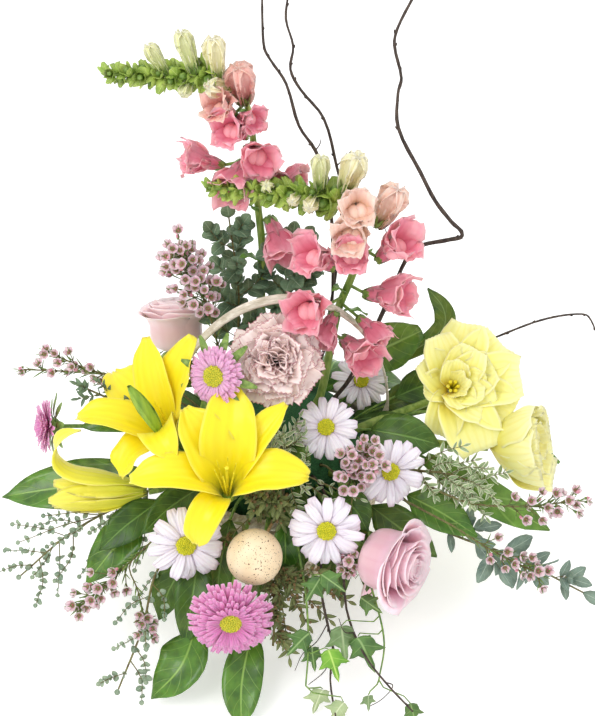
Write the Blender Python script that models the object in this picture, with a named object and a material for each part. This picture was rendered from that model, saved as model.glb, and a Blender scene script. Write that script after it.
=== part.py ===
# A table arrangement of cut flowers, foliage and curly willow in a small hoop-handled basket.
# Lengths are in millimetres, turned to metres where a mesh is made.
# The origin is the middle of the basket's base, +Z is up and -Y is the front.

import math

import bpy
from mathutils import Vector

MM = 0.001
GAP = 0.3
HUB = 0.5  # turned bodies close on a small flat of this radius

# The basket and what it holds.
BOWL_HEIGHT = 86.0
BOWL_BASE_RADIUS = 66.0
BOWL_TOP_RADIUS = 88.0
BOWL_WALL = 4.0
RIM_RADIUS = 4.5
HANDLE_WIDTH = 12.0
HANDLE_THICKNESS = 4.0
HANDLE_FOOT = 24.0
HANDLE_SPRING = 120.0
HANDLE_HALF_SPAN = 88.0
HANDLE_TOP = 240.0
HANDLE_YAW = math.radians(10.0)
HANDLE_STEPS = 12
BASKET_SIDES = 40
LINER_SIDES = 32
LINER_WALL = 1.5
LINER_INSET = 5.2
LINER_TOP = 83.0
FOAM_SIDES = 28
FOAM_RADIUS = 66.0
FOAM_BASE_RADIUS = 52.0
FOAM_SHOULDER = 95.0
FOAM_TOP = 125.0

# Stems are pushed into the foam towards one point below its top.
STEM_AIM = Vector((0.0, 0.0, 70.0))
STEM_DEPTH = 22.0
STEM_SPACING = 10.5
STEM_RISE = 3.0
THIN_STEM_RADIUS = 1.5
LOWEST_SOCKET = math.radians(24.0)

# A flower head is a row of rings: how far along its axis, radius, and how deep its petals are cut.
LILY = [(-34, 4, 0), (-24, 8, 0), (-6, 15, 0.1), (8, 34, 0.5), (12, 58, 0.72),
        (15, 57, 0.72), (12, 33, 0.5), (-2, 12, 0.1), (-20, 4, 0)]
LILY_HALF_OPEN = [(-8, 4, 0), (6, 10, 0), (26, 15, 0.1), (52, 13, 0.3), (68, 7, 0.5)]
DAISY = [(-9, 2.5, 0), (-5, 8, 0), (-3, 27, 0.16), (0, 28, 0.16), (1, 9, 0), (4, 5, 0)]
DAISY_SMALL = [(0.8 * reach, 0.8 * radius, cut) for reach, radius, cut in DAISY]
ASTER = [(-12, 3, 0), (-8, 12, 0), (-5, 31, 0.1), (0, 32, 0.1), (1, 12, 0), (4, 7, 0)]
ASTER_SMALL = [(0.7 * reach, 0.7 * radius, cut) for reach, radius, cut in ASTER]
CARNATION = [(-44, 3, 0), (-40, 7, 0), (-24, 8, 0), (-20, 20, 0), (-10, 34, 0.08),
             (4, 33, 0.08), (14, 20, 0), (17, 8, 0)]
ROSE = [(-44, 3, 0), (-40, 12, 0), (-26, 27, 0), (-8, 34, 0.06), (3, 29, 0), (4, 12, 0)]
TULIP = [(-34, 3, 0), (-31, 18, 0), (-18, 34, 0.1), (-4, 42, 0.16), (6, 38, 0.16), (5, 18, 0)]

GREEN = (0.10, 0.24, 0.06)
YELLOW = (0.90, 0.76, 0.03)
CREAM_YELLOW = (0.93, 0.88, 0.42)
WHITE_LILAC = (0.88, 0.80, 0.88)
PINK = (0.85, 0.42, 0.58)
PALE_PINK = (0.90, 0.62, 0.66)
CORAL_PINK = (0.80, 0.35, 0.42)
GREY_GREEN = (0.22, 0.32, 0.24)
BARK = (0.12, 0.09, 0.08)

# Each flower: middle of its face, the way it faces, ring profile, number of petals, stem radius, colour.
BLOOMS = {
    "lily_front": ((-36, -108, 150), (0.0, -0.30, 0.95), LILY, 6, 3.0, YELLOW),
    "lily_left": ((-88, -58, 166), (-0.38, -0.10, 0.92), LILY, 6, 3.0, YELLOW),
    "lily_side": ((-106, -74, 112), (-0.98, -0.10, 0.06), LILY_HALF_OPEN, 6, 2.6, YELLOW),
    "aster_middle": ((-46, -60, 214), (-0.30, -0.80, 0.50), ASTER_SMALL, 6, 1.8, PINK),
    "aster_front": ((-36, -172, 72), (0.0, -0.96, 0.28), ASTER, 6, 1.8, PINK),
    "aster_left": ((-178, -28, 136), (-0.96, -0.22, 0.12), ASTER_SMALL, 6, 1.8, PINK),
    "daisy_left": ((-68, -128, 103), (0.10, -0.90, 0.42), DAISY, 6, 1.6, WHITE_LILAC),
    "daisy_front": ((35, -123, 113), (-0.08, -0.90, 0.42), DAISY, 6, 1.6, WHITE_LILAC),
    "daisy_middle": ((35, -57, 162), (-0.10, -0.60, 0.78), DAISY, 6, 1.6, WHITE_LILAC),
    "daisy_right": ((83, -80, 138), (0.20, -0.80, 0.56), DAISY, 6, 1.6, WHITE_LILAC),
    "daisy_back": ((65, 32, 131), (0.10, -0.60, 0.78), DAISY_SMALL, 6, 1.6, WHITE_LILAC),
    "carnation": ((-2, -42, 214), (0.0, -0.70, 0.70), CARNATION, 6, 2.6, PALE_PINK),
    "rose_front": ((98, -138, 97), (0.68, -0.70, 0.20), ROSE, 5, 2.8, PINK),
    "rose_back": ((-84, 60, 190), (-0.10, 0.62, 0.78), ROSE, 5, 2.8, PALE_PINK),
    "tulip_near": ((140, -8, 164), (0.10, -0.62, 0.78), TULIP, 6, 3.2, CREAM_YELLOW),
    "tulip_far": ((200, -30, 122), (0.88, -0.40, 0.22), TULIP, 6, 3.0, CREAM_YELLOW),
}

# Each single leaf: way points from its petiole to its tip, greatest half width, the way its face looks.
BLADES = {
    "salal_left": ([(-104, -52, 112), (-150, -60, 102), (-182, -62, 98), (-212, -60, 92)],
                   17, (0.1, -0.5, 0.86)),
    "salal_left_low": ([(-104, -86, 92), (-124, -100, 78), (-146, -117, 56)], 16, (-0.3, -0.7, 0.6)),
    "salal_front_left": ([(-62, -150, 42), (-72, -176, 32), (-94, -189, 14)], 15, (-0.3, -0.6, 0.75)),
    "salal_front": ([(-20, -150, 40), (-27, -184, 22), (-27, -214, 6)], 13, (0.1, -0.5, 0.86)),
    "salal_right_up": ([(76, 56, 140), (94, 50, 156), (110, 44, 172)], 15, (0.0, -0.7, 0.7)),
    "salal_tall": ([(96, 46, 140), (128, 44, 176), (126, 46, 192), (114, 52, 206)], 9, (-0.5, -0.7, 0.5)),
    "salal_right_low": ([(98, -66, 100), (124, -80, 94), (150, -92, 84)], 13, (0.1, -0.6, 0.8)),
    "tulip_leaf_near": ([(112, -42, 116), (160, -70, 102), (204, -84, 80)], 11, (-0.4, -0.6, 0.7)),
    "tulip_leaf_far": ([(120, 6, 120), (170, 10, 104), (222, -6, 76)], 10, (0.5, -0.6, 0.6)),
}

# Each leafy sprig: way points of its stem, pairs of leaves, leaf length and width, colour.
SPRIGS = {
    "eucalyptus_back_left": ([(-32, 46, 150), (-32, 54, 205), (-38, 64, 266)], 6, 17, 12, GREY_GREEN),
    "eucalyptus_back_middle": ([(8, 46, 150), (5, 54, 200), (6, 62, 246)], 5, 17, 12, GREY_GREEN),
    "eucalyptus_back_right": ([(18, 58, 160), (24, 62, 205), (24, 72, 238)], 4, 16, 10, GREY_GREEN),
    "eucalyptus_left": ([(-98, -34, 146), (-122, -32, 164), (-150, -30, 180)], 4, 15, 11, GREY_GREEN),
    "eucalyptus_low_left": ([(-100, -64, 102), (-156, -84, 80), (-196, -108, 56)], 7, 15, 10, GREY_GREEN),
    "eucalyptus_front_left": ([(-90, -120, 76), (-100, -158, 54), (-117, -190, 24)], 6, 15, 11, GREY_GREEN),
    "eucalyptus_right": ([(126, -84, 80), (176, -98, 67), (230, -120, 50)], 5, 18, 12, GREY_GREEN),
    "pittosporum_right": ([(104, -62, 122), (128, -68, 124), (154, -76, 118)], 4, 16, 8, GREY_GREEN),
    "pittosporum_middle": ([(8, -84, 128), (2, -74, 148), (4, -66, 164)], 3, 14, 7, GREY_GREEN),
    "seeded_foliage_egg": ([(-2, -86, 116), (-8, -98, 126), (-14, -106, 136)], 3, 12, 6, GREEN),
    "seeded_foliage_low": ([(0, -106, 94), (-2, -140, 72), (-4, -168, 46)], 3, 12, 6, GREEN),
}

# Each vine: way points and how many lobed leaves hang from it.
VINES = {
    "ivy_left": ([(14, -106, 94), (20, -140, 72), (22, -170, 50), (20, -190, 28)], 3),
    "ivy_right": ([(56, -104, 92), (72, -140, 62), (78, -162, 42), (74, -180, 22)], 3),
}

# Each waxflower sprig: way points of its stem and how many small cups it carries.
WAXFLOWERS = {
    "waxflower_back": ([(-44, 6, 178), (-54, 8, 226), (-66, 14, 262)], 9),
    "waxflower_middle": ([(54, -58, 120), (57, -60, 138), (58, -54, 156)], 5),
    "waxflower_far_right": ([(136, -88, 116), (180, -92, 112), (226, -86, 104)], 6),
    "waxflower_right": ([(124, -98, 104), (158, -116, 92), (196, -126, 78)], 5),
    "waxflower_left_up": ([(-98, 12, 140), (-146, 10, 160), (-180, 16, 174)], 4),
    "waxflower_left": ([(-92, 30, 128), (-148, 32, 138), (-206, 30, 144)], 4),
    "waxflower_front_left": ([(-96, -104, 88), (-120, -122, 74), (-150, -140, 54)], 6),
}

# Each snapdragon: way points of its spike.
SNAPDRAGON_RADIUS = 3.0
SNAPDRAGON_BLOSSOMS = 14
SNAPDRAGONS = {
    "snapdragon_right": [(32, 4, 140), (39, 13, 178), (45, 21, 212), (54, 22, 240), (61, 23, 268),
                         (57, 25, 292), (40, 27, 306), (10, 27, 312), (-20, 24, 317), (-51, 20, 322)],
    "snapdragon_left": [(-14, 58, 182), (-13, 60, 239), (-16, 62, 283), (-19, 66, 341), (-25, 66, 370),
                        (-39, 64, 386), (-76, 60, 389), (-121, 52, 395)],
}

# Each willow twig: way points and its radius where it leaves the foam.
WILLOWS = {
    "willow_back_left": ([(40, 62, 160), (38, 62, 292), (27, 60, 328), (15, 58, 350), (6, 60, 383),
                          (-5, 60, 402), (-9, 60, 411), (-10, 60, 431), (-10, 62, 450)], 1.6),
    "willow_back_right": ([(40, 84, 160), (48, 74, 278), (43, 70, 308), (33, 68, 350), (16, 68, 374),
                           (9, 68, 390), (11, 68, 408), (6, 68, 429), (8, 70, 449)], 1.6),
    "willow_tall": ([(56, 14, 150), (80, 34, 199), (98, 42, 248), (107, 42, 256), (128, 41, 262),
                     (137, 41, 266), (128, 41, 278), (115, 42, 296), (103, 43, 320), (86, 52, 352),
                     (85, 57, 377), (87, 59, 388), (81, 59, 414), (83, 64, 424), (93, 67, 446)], 2.0),
    "willow_right": ([(98, 36, 112), (132, 46, 142), (172, 44, 166), (199, 42, 182), (218, 40, 190),
                      (234, 36, 195), (239, 34, 194), (246, 30, 182)], 1.2),
    "willow_front_left": ([(30, -106, 90), (32, -140, 70), (36, -156, 57), (40, -168, 44),
                           (38, -184, 27), (42, -204, 9)], 1.2),
    "willow_front_right": ([(46, -104, 89), (50, -148, 64), (62, -174, 46), (78, -190, 32),
                            (98, -204, 16)], 1.2),
}

EGG_MIDDLE = Vector((-17, -134, 106))
EGG_SIZE = (22.0, 22.0, 24.0)


def clear_scene():
    for item in list(bpy.data.objects):
        bpy.data.objects.remove(item)


def make_material(name, color, roughness=0.6):
    made = bpy.data.materials.new(name)
    made.use_nodes = True
    shader = made.node_tree.nodes["Principled BSDF"]
    shader.inputs["Base Color"].default_value = (*color, 1.0)
    shader.inputs["Roughness"].default_value = roughness
    shader.inputs["Metallic"].default_value = 0.0
    return made


def world(point):
    return Vector(point) * MM


class Solid:
    """A mesh built from rings of points; each row of rings closes into one body."""

    def __init__(self):
        self.points = []
        self.faces = []

    def ring(self, points):
        start = len(self.points)
        self.points += [world(point) for point in points]
        return list(range(start, len(self.points)))

    def bridge(self, low, high):
        count = len(low)
        for index in range(count):
            after = (index + 1) % count
            self.faces.append((low[index], low[after], high[after], high[index]))

    def rows(self, rings, closed=False):
        """Bridges the rings in turn, capping the first and last or joining them."""
        indices = [self.ring(points) for points in rings]
        for low, high in zip(indices, indices[1:]):
            self.bridge(low, high)
        if closed:
            self.bridge(indices[-1], indices[0])
        else:
            self.faces.append(tuple(reversed(indices[0])))
            self.faces.append(tuple(indices[-1]))

    def build(self, name, material, cutter=False):
        mesh = bpy.data.meshes.new(name)
        mesh.from_pydata([tuple(point) for point in self.points], [], self.faces)
        mesh.materials.append(material)
        mesh.shade_smooth()
        mesh.set_sharp_from_angle(angle=math.radians(35))
        made = bpy.data.objects.new(name, mesh)
        bpy.context.scene.collection.objects.link(made)
        if cutter:
            made.hide_render = True
            made.display_type = "WIRE"
        return made


def join(target, tool, operation):
    step = target.modifiers.new(operation.lower(), "BOOLEAN")
    step.operation = operation
    step.solver = "EXACT"
    step.use_self = operation == "UNION"
    step.object = tool


def circle(center, side, up, radius, sides, petals=0, cut=0.0):
    """A ring round a point; with petals it swells and narrows by the depth of the cut."""
    points = []
    for index in range(sides):
        angle = 2 * math.pi * index / sides
        reach = radius * (1 - cut * (0.5 - 0.5 * math.cos(petals * angle))) if petals else radius
        points.append(center + reach * (math.cos(angle) * side + math.sin(angle) * up))
    return points


def turned(profile, sides):
    """Rings of a body turned about the Z axis; the profile runs anticlockwise in (radius, height)."""
    x, y = Vector((1, 0, 0)), Vector((0, 1, 0))
    return [circle(Vector((0, 0, height)), x, y, radius, sides) for radius, height in profile]


def across(direction):
    """Two directions square to this one and to each other."""
    helper = Vector((0, 0, 1)) if abs(direction.z) < 0.9 else Vector((0, 1, 0))
    side = helper.cross(direction).normalized()
    return side, direction.cross(side).normalized()


def smooth_route(points, start_way, end_way, steps=3):
    """A curve through the points, leaving along start_way and arriving along end_way."""
    points = [Vector(point) for point in points]
    ways = [start_way.normalized()]
    for before, after in zip(points, points[2:]):
        ways.append((after - before).normalized())
    ways.append(end_way.normalized())
    route = [points[0]]
    for index in range(len(points) - 1):
        start, end = points[index], points[index + 1]
        pull = (end - start).length
        for step in range(1, steps + 1):
            t = step / steps
            route.append(start * (2 * t**3 - 3 * t**2 + 1) + end * (3 * t**2 - 2 * t**3)
                         + ways[index] * pull * (t**3 - 2 * t**2 + t)
                         + ways[index + 1] * pull * (t**3 - t**2))
    return route


def frames(route):
    """Each point of a route with the direction there and two directions across it, without twist."""
    found = []
    side = None
    for index, point in enumerate(route):
        before = route[max(index - 1, 0)]
        after = route[min(index + 1, len(route) - 1)]
        way = (after - before).normalized()
        if side is None:
            side, up = across(way)
        else:
            side = (side - way * side.dot(way)).normalized()
            up = way.cross(side)
        found.append((point, way, side, up))
    return found


def tube(route, radii, sides):
    return [circle(point, side, up, radius, sides)
            for (point, way, side, up), radius in zip(frames(route), radii)]


def on_foam(way):
    """Where a line from STEM_AIM along this way meets the domed top of the foam."""
    height = FOAM_TOP - FOAM_SHOULDER
    low, high = 0.0, 2 * FOAM_RADIUS
    for _ in range(40):
        middle = (low + high) / 2
        point = STEM_AIM + way * middle
        rise = max(point.z - FOAM_SHOULDER, 0.0)
        inside = (point.x**2 + point.y**2) / FOAM_RADIUS**2 + (rise / height) ** 2 < 1
        low, high = (middle, high) if inside else (low, middle)
    return STEM_AIM + way * low


def sockets(targets):
    """A place on the foam for each stem, towards its target and apart from the others."""
    ways = {name: (Vector(target) - STEM_AIM).normalized() for name, target in targets.items()}
    names = sorted(ways)
    for _ in range(300):
        places = {name: on_foam(ways[name]) for name in names}
        for index, name in enumerate(names):
            for other in names[index + 1:]:
                apart = places[name] - places[other]
                short = STEM_SPACING - apart.length
                if short > 0:
                    nudge = apart.normalized() * short * 0.5
                    places[name] += nudge
                    places[other] -= nudge
        for name in names:
            way = (places[name] - STEM_AIM).normalized()
            level = math.hypot(way.x, way.y)
            if way.z < math.sin(LOWEST_SOCKET):
                way = Vector((way.x / level, way.y / level, math.tan(LOWEST_SOCKET)))
            ways[name] = way.normalized()
    return {name: (on_foam(ways[name]), ways[name]) for name in names}


def stem_route(socket, points, end_way=None):
    """From inside the foam, out of its socket and on through the points."""
    surface, way = socket
    if end_way is None:
        end_way = Vector(points[-1]) - Vector(points[-2])
    out = smooth_route([surface + way * STEM_RISE, *points], way, Vector(end_way))
    return [surface - way * STEM_DEPTH, surface, *out]


def facing_frame(facing):
    way = Vector(facing).normalized()
    side = Vector((0, 0, 1)).cross(way) if abs(way.z) < 0.98 else Vector((1, 0, 0))
    side.normalize()
    return way, side, way.cross(side)


def build_bloom(name, socket):
    middle, facing, profile, petals, radius, color = BLOOMS[name]
    way, side, up = facing_frame(facing)
    middle = Vector(middle)
    sides = 2 * petals
    base = middle + way * (profile[0][0] - 2)
    route = stem_route(socket, [base], way)
    rings = tube(route[:-1], [radius] * len(route), sides)
    # The head's rings keep the stem's order, so they start beside its last ring's first point.
    first = rings[-1][0] - route[-2]
    first = (first - way * first.dot(way)).normalized()
    for reach, size, cut in profile:
        rings.append(circle(middle + way * reach, first, way.cross(first), size, sides, petals, cut))
    solid = Solid()
    solid.rows(rings)
    return solid.build(name, make_material(name, color))


def leaf_plate(solid, base, way, face, length, width, thickness=1.1):
    """A flat pointed leaf as a thin closed plate."""
    face = (Vector(face) - way * Vector(face).dot(way)).normalized()
    side = way.cross(face)
    outline = [(0, 0.5), (0.45 * length, 0.5 * width), (length, 0),
               (0.45 * length, -0.5 * width), (0, -0.5)]
    ring = [base + way * along + side * out for along, out in outline]
    half = face * thickness / 2
    solid.rows([[point - half for point in ring], [point + half for point in ring]])


def build_blade(name, socket):
    points, width, face = BLADES[name]
    route = stem_route(socket, points)
    start = len(route) - 3 * (len(points) - 1) - 1
    rings = []
    for index, (point, way, side, up) in enumerate(frames(route)):
        share = max(index - start, 0) / (len(route) - 1 - start)
        look = Vector(face)
        look = (look - way * look.dot(way)).normalized()
        out = way.cross(look)
        half = 1.3 + width * math.sin(math.pi * share ** 0.8) if share > 0 else 1.3
        if share >= 1:
            half = 0.6
        thick = 1.3 if share == 0 else 0.8
        rings.append([point + out * half, point - look * thick, point - out * half,
                      point + look * thick])
    solid = Solid()
    solid.rows(rings)
    return solid.build(name, make_material(name, GREEN, 0.45))


def along(route, share):
    """The point and direction at this share of the route's points."""
    place = share * (len(route) - 1)
    index = min(int(place), len(route) - 2)
    rest = place - index
    way = (route[index + 1] - route[index]).normalized()
    return route[index].lerp(route[index + 1], rest), way


def build_sprig(name, socket):
    points, pairs, length, width, color = SPRIGS[name]
    route = stem_route(socket, points)
    made = Solid()
    made.rows(tube(route, [1.4] * (len(route) - 3) + [1.2, 1.0, 0.8], 5))
    stem = made.build(name, make_material(name, color))
    leaves = Solid()
    for index in range(pairs):
        share = 0.5 + 0.45 * index / max(pairs - 1, 1)
        point, way = along(route, share)
        side, up = across(way)
        for hand in (-1, 1):
            out = (side * hand * 0.8 + way * 0.6).normalized()
            size = 1.15 - 0.4 * index / pairs
            leaf_plate(leaves, point + way * hand * 1.6, out, up, length * size, width * size)
    tool = leaves.build(name + "_leaves", stem.data.materials[0], cutter=True)
    join(stem, tool, "UNION")
    return stem


def build_vine(name, socket):
    points, count = VINES[name]
    route = stem_route(socket, points)
    made = Solid()
    made.rows(tube(route, [1.3] * len(route), 6))
    vine = made.build(name, make_material(name, GREEN))
    leaves = Solid()
    for index in range(count):
        point, way = along(route, 0.55 + 0.42 * index / (count - 1))
        hand = 1 if index % 2 else -1
        side, up = across(way)
        leaf_plate(leaves, point, (side * hand + way * 0.4).normalized(), up, 24, 22, 1.2)
    tool = leaves.build(name + "_leaves", vine.data.materials[0], cutter=True)
    join(vine, tool, "UNION")
    return vine


def cup(solid, base, way, length, radius):
    """A small closed bud or cup, widest two thirds along."""
    side, up = across(way)
    rings = [circle(base + way * length * share, side, up, radius * size, 5)
             for share, size in [(0, 0.3), (0.65, 1.0), (1, 0.4)]]
    solid.rows(rings)


def build_waxflower(name, socket):
    points, cups = WAXFLOWERS[name]
    route = stem_route(socket, points)
    made = Solid()
    made.rows(tube(route, [1.1] * len(route), 6))
    stem = made.build(name, make_material(name, PALE_PINK))
    heads = Solid()
    for index in range(cups):
        point, way = along(route, 0.62 + 0.38 * index / cups)
        side, up = across(way)
        turn = 2.4 * index
        out = side * math.cos(turn) + up * math.sin(turn)
        cup(heads, point, (out + way * 0.5).normalized(), 12, 4.2)
    tool = heads.build(name + "_cups", stem.data.materials[0], cutter=True)
    join(stem, tool, "UNION")
    return stem


def build_snapdragon(name, socket):
    route = stem_route(socket, SNAPDRAGONS[name])
    made = Solid()
    taper = [SNAPDRAGON_RADIUS * min(1, 1.2 - 0.8 * index / len(route)) for index in range(len(route))]
    made.rows(tube(route, taper, 6))
    stem = made.build(name, make_material(name, CORAL_PINK))
    blossoms = Solid()
    for index in range(SNAPDRAGON_BLOSSOMS):
        share = 0.40 + 0.58 * index / (SNAPDRAGON_BLOSSOMS - 1)
        point, way = along(route, share)
        side, up = across(way)
        turn = 2.4 * index
        out = side * math.cos(turn) + up * math.sin(turn)
        size = 1.0 if share < 0.78 else 0.45  # the top of the spike is still in bud
        cup(blossoms, point, (out + way * 0.5).normalized(), 27 * size, 10 * size)
    tool = blossoms.build(name + "_blossoms", stem.data.materials[0], cutter=True)
    join(stem, tool, "UNION")
    return stem


def build_willow(name, socket):
    points, radius = WILLOWS[name]
    surface, way = socket
    start = surface + way * STEM_RISE
    end_way = Vector(points[-1]) - Vector(points[-2])
    route = [surface - way * STEM_DEPTH, surface]
    route += smooth_route([start, *points], way, end_way, steps=2)
    count = len(route)
    radii = [radius * (1 - 0.45 * index / count) for index in range(count)]
    solid = Solid()
    solid.rows(tube(route, radii, 6))
    return solid.build(name, make_material(name, BARK, 0.8))


def bowl_inside(height):
    slope = (BOWL_TOP_RADIUS - BOWL_BASE_RADIUS) / BOWL_HEIGHT
    return BOWL_BASE_RADIUS + slope * height - BOWL_WALL


def build_basket():
    wicker = make_material("whitewashed_wicker", (0.66, 0.58, 0.47), 0.75)
    bowl = Solid()
    bowl.rows(turned([(HUB, 0), (BOWL_BASE_RADIUS, 0), (BOWL_TOP_RADIUS, BOWL_HEIGHT),
                      (BOWL_TOP_RADIUS - BOWL_WALL, BOWL_HEIGHT),
                      (bowl_inside(BOWL_WALL), BOWL_WALL), (HUB, BOWL_WALL)], BASKET_SIDES))
    bowl.build("basket_bowl", wicker)

    middle = BOWL_TOP_RADIUS + 1.0
    height = BOWL_HEIGHT + GAP + RIM_RADIUS
    rings = []
    for index in range(BASKET_SIDES):
        angle = 2 * math.pi * index / BASKET_SIDES
        out = Vector((math.cos(angle), math.sin(angle), 0))
        rings.append(circle(out * middle + Vector((0, 0, height)), out, Vector((0, 0, -1)),
                            RIM_RADIUS, 6))
    rim = Solid()
    rim.rows(rings, closed=True)
    rim.build("basket_rim", wicker)

    # The hoop's legs follow the bowl's inside wall and its top is half an ellipse.
    across_span = Vector((math.cos(HANDLE_YAW), math.sin(HANDLE_YAW), 0))
    flat = Vector((-math.sin(HANDLE_YAW), math.cos(HANDLE_YAW), 0))
    half_leg = HANDLE_THICKNESS / 2 + 2 * GAP
    outline = [(bowl_inside(min(level, BOWL_HEIGHT)) - half_leg, level)
               for level in (HANDLE_FOOT, BOWL_HEIGHT - 30, BOWL_HEIGHT, BOWL_HEIGHT + 11)]
    for step in range(HANDLE_STEPS + 1):
        angle = math.pi / 2 * step / HANDLE_STEPS
        outline.append((HANDLE_HALF_SPAN * math.cos(angle),
                        HANDLE_SPRING + (HANDLE_TOP - HANDLE_SPRING) * math.sin(angle)))
    hoop = [(-x, z) for x, z in outline] + [(x, z) for x, z in reversed(outline[:-1])]
    center = [across_span * x + Vector((0, 0, z)) for x, z in hoop]
    rings = []
    for point, way, _, _ in frames(center):
        thin = way.cross(flat).normalized()
        w, t = flat * HANDLE_WIDTH / 2, thin * HANDLE_THICKNESS / 2
        rings.append([point + w + t, point - w + t, point - w - t, point + w - t])
    handle = Solid()
    handle.rows(rings)
    handle.build("basket_handle", wicker)

    low = BOWL_WALL + GAP
    outer = [(bowl_inside(level) - LINER_INSET, level) for level in (low, LINER_TOP)]
    liner = Solid()
    liner.rows(turned([(HUB, low), *outer, (outer[1][0] - LINER_WALL, LINER_TOP),
                       (outer[0][0] - LINER_WALL, low + LINER_WALL), (HUB, low + LINER_WALL)], LINER_SIDES))
    liner.build("liner", make_material("liner_plastic", (0.05, 0.12, 0.06), 0.5))


def build_foam(places):
    low = BOWL_WALL + LINER_WALL + 2 * GAP
    profile = [(HUB, low), (FOAM_BASE_RADIUS, low), (FOAM_RADIUS, 70.0), (FOAM_RADIUS, FOAM_SHOULDER)]
    for step in range(1, 7):
        angle = math.pi / 2 * step / 6.2  # the dome stops just short of its pole, which stays a small flat
        profile.append((FOAM_RADIUS * math.cos(angle),
                        FOAM_SHOULDER + (FOAM_TOP - FOAM_SHOULDER) * math.sin(angle)))
    solid = Solid()
    solid.rows(turned(profile, FOAM_SIDES))
    foam = solid.build("floral_foam", make_material("floral_foam", (0.09, 0.26, 0.12), 0.95))
    holes = Solid()
    for name in sorted(places):
        surface, way = places[name]
        side, up = across(way)
        radius = (stem_radius(name) + GAP) / math.cos(math.pi / 6)
        holes.rows([circle(surface + way * reach, side, up, radius, 6)
                    for reach in (-STEM_DEPTH - GAP, 12.0)])
    tool = holes.build("stem_holes", foam.data.materials[0], cutter=True)
    join(foam, tool, "DIFFERENCE")


def stem_radius(name):
    if name in BLOOMS:
        return BLOOMS[name][4]
    if name in WILLOWS:
        return WILLOWS[name][1]
    if name in SNAPDRAGONS:
        return SNAPDRAGON_RADIUS
    return THIN_STEM_RADIUS


def build_egg(socket):
    shell = Solid()
    rings = []
    for step in range(9):
        angle = math.pi * (step / 8 - 0.5) * 0.97
        point = EGG_MIDDLE + Vector((0, 0, EGG_SIZE[2] * math.sin(angle)))
        rings.append(circle(point, Vector((1, 0, 0)), Vector((0, 1, 0)),
                            EGG_SIZE[0] * math.cos(angle), 16))
    shell.rows(rings)
    shell.build("egg", make_material("egg", (0.80, 0.66, 0.46), 0.4))
    surface, way = socket
    into = (EGG_MIDDLE - surface).normalized()
    stop = EGG_MIDDLE - into * (EGG_SIZE[2] + 1.2)
    route = [surface - way * STEM_DEPTH, surface, stop]
    pick = Solid()
    pick.rows(tube(route, [1.2] * 3, 6))
    pick.build("egg_pick", make_material("egg_pick", (0.62, 0.45, 0.25), 0.7))


def targets():
    """What each stem heads for first, by node name."""
    found = {name: BLOOMS[name][0] for name in BLOOMS}
    for group in (BLADES, SPRIGS, VINES, WAXFLOWERS, WILLOWS):
        found.update({name: group[name][0][0] for name in group})
    found.update({name: SNAPDRAGONS[name][0] for name in SNAPDRAGONS})
    found["egg_pick"] = tuple(EGG_MIDDLE)
    return found


def build_arrangement():
    clear_scene()
    build_basket()
    places = sockets(targets())
    build_foam(places)
    build_egg(places["egg_pick"])
    builders = [(BLOOMS, build_bloom), (BLADES, build_blade), (SPRIGS, build_sprig),
                (VINES, build_vine), (WAXFLOWERS, build_waxflower),
                (SNAPDRAGONS, build_snapdragon), (WILLOWS, build_willow)]
    for group, build in builders:
        for name in group:
            build(name, places[name])
    print("built", len(places), "stems")


build_arrangement()
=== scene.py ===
# Looks for a basket arrangement of cut flowers: every flower, leaf and reed is modelled over its solid.
import math
import random

import bmesh
import bpy
from mathutils import Matrix, Vector, geometry


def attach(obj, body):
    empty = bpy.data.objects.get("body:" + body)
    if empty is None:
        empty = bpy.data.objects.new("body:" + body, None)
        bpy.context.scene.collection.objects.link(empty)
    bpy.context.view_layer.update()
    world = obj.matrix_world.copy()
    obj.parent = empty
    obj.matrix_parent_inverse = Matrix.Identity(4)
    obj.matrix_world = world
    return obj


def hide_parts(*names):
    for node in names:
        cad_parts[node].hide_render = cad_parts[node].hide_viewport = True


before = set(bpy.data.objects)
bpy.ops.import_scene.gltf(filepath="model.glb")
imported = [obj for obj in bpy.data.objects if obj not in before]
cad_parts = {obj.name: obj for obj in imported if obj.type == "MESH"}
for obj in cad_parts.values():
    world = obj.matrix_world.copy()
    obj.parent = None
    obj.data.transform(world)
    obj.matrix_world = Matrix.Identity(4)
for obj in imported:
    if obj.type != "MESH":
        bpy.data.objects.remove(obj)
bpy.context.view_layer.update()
mm = 0.001
foamAim = Vector((0, 0, 0.070))  # every stem is pushed into the foam towards this point
goldenTurn = 2.39996  # radians from one leaf or floret to the next in a grown spiral
goldenDegrees = 137.5  # the same turn in degrees
plantIor = 1.45  # refraction of living tissue, reed and shell
relief = {"petal": 0.0004, "leaf": 0.0006}  # how deep the ridges between veins look, in metres
petalFeel = {"sheen": 0.1, "subsurface": 0.25}  # light passes into a petal and skims its down
toneRange = (0.35, 0.65)  # the middle part of a noise, stretched to give two clear tones


# Small helpers for materials.


def linearColor(hexText):
    channels = [int(hexText[i:i + 2], 16) / 255 for i in (0, 2, 4)]
    return (*[c / 12.92 if c <= 0.04045 else ((c + 0.055) / 1.055) ** 2.4 for c in channels], 1.0)


def addNode(tree, kind, settings=None, inputs=None, stops=None):
    node = tree.nodes.new(kind)
    for key, value in (settings or {}).items():
        setattr(node, key, value)
    for key, value in (inputs or {}).items():
        if isinstance(value, bpy.types.NodeSocket):
            tree.links.new(value, node.inputs[key])
        else:
            node.inputs[key].default_value = value
    for index, (place, color) in enumerate(stops or []):
        ramp = node.color_ramp.elements
        stop = ramp[index] if index < 2 else ramp.new(place)
        stop.position = place
        stop.color = linearColor(color) if isinstance(color, str) else (color, color, color, 1)
    return node


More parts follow.
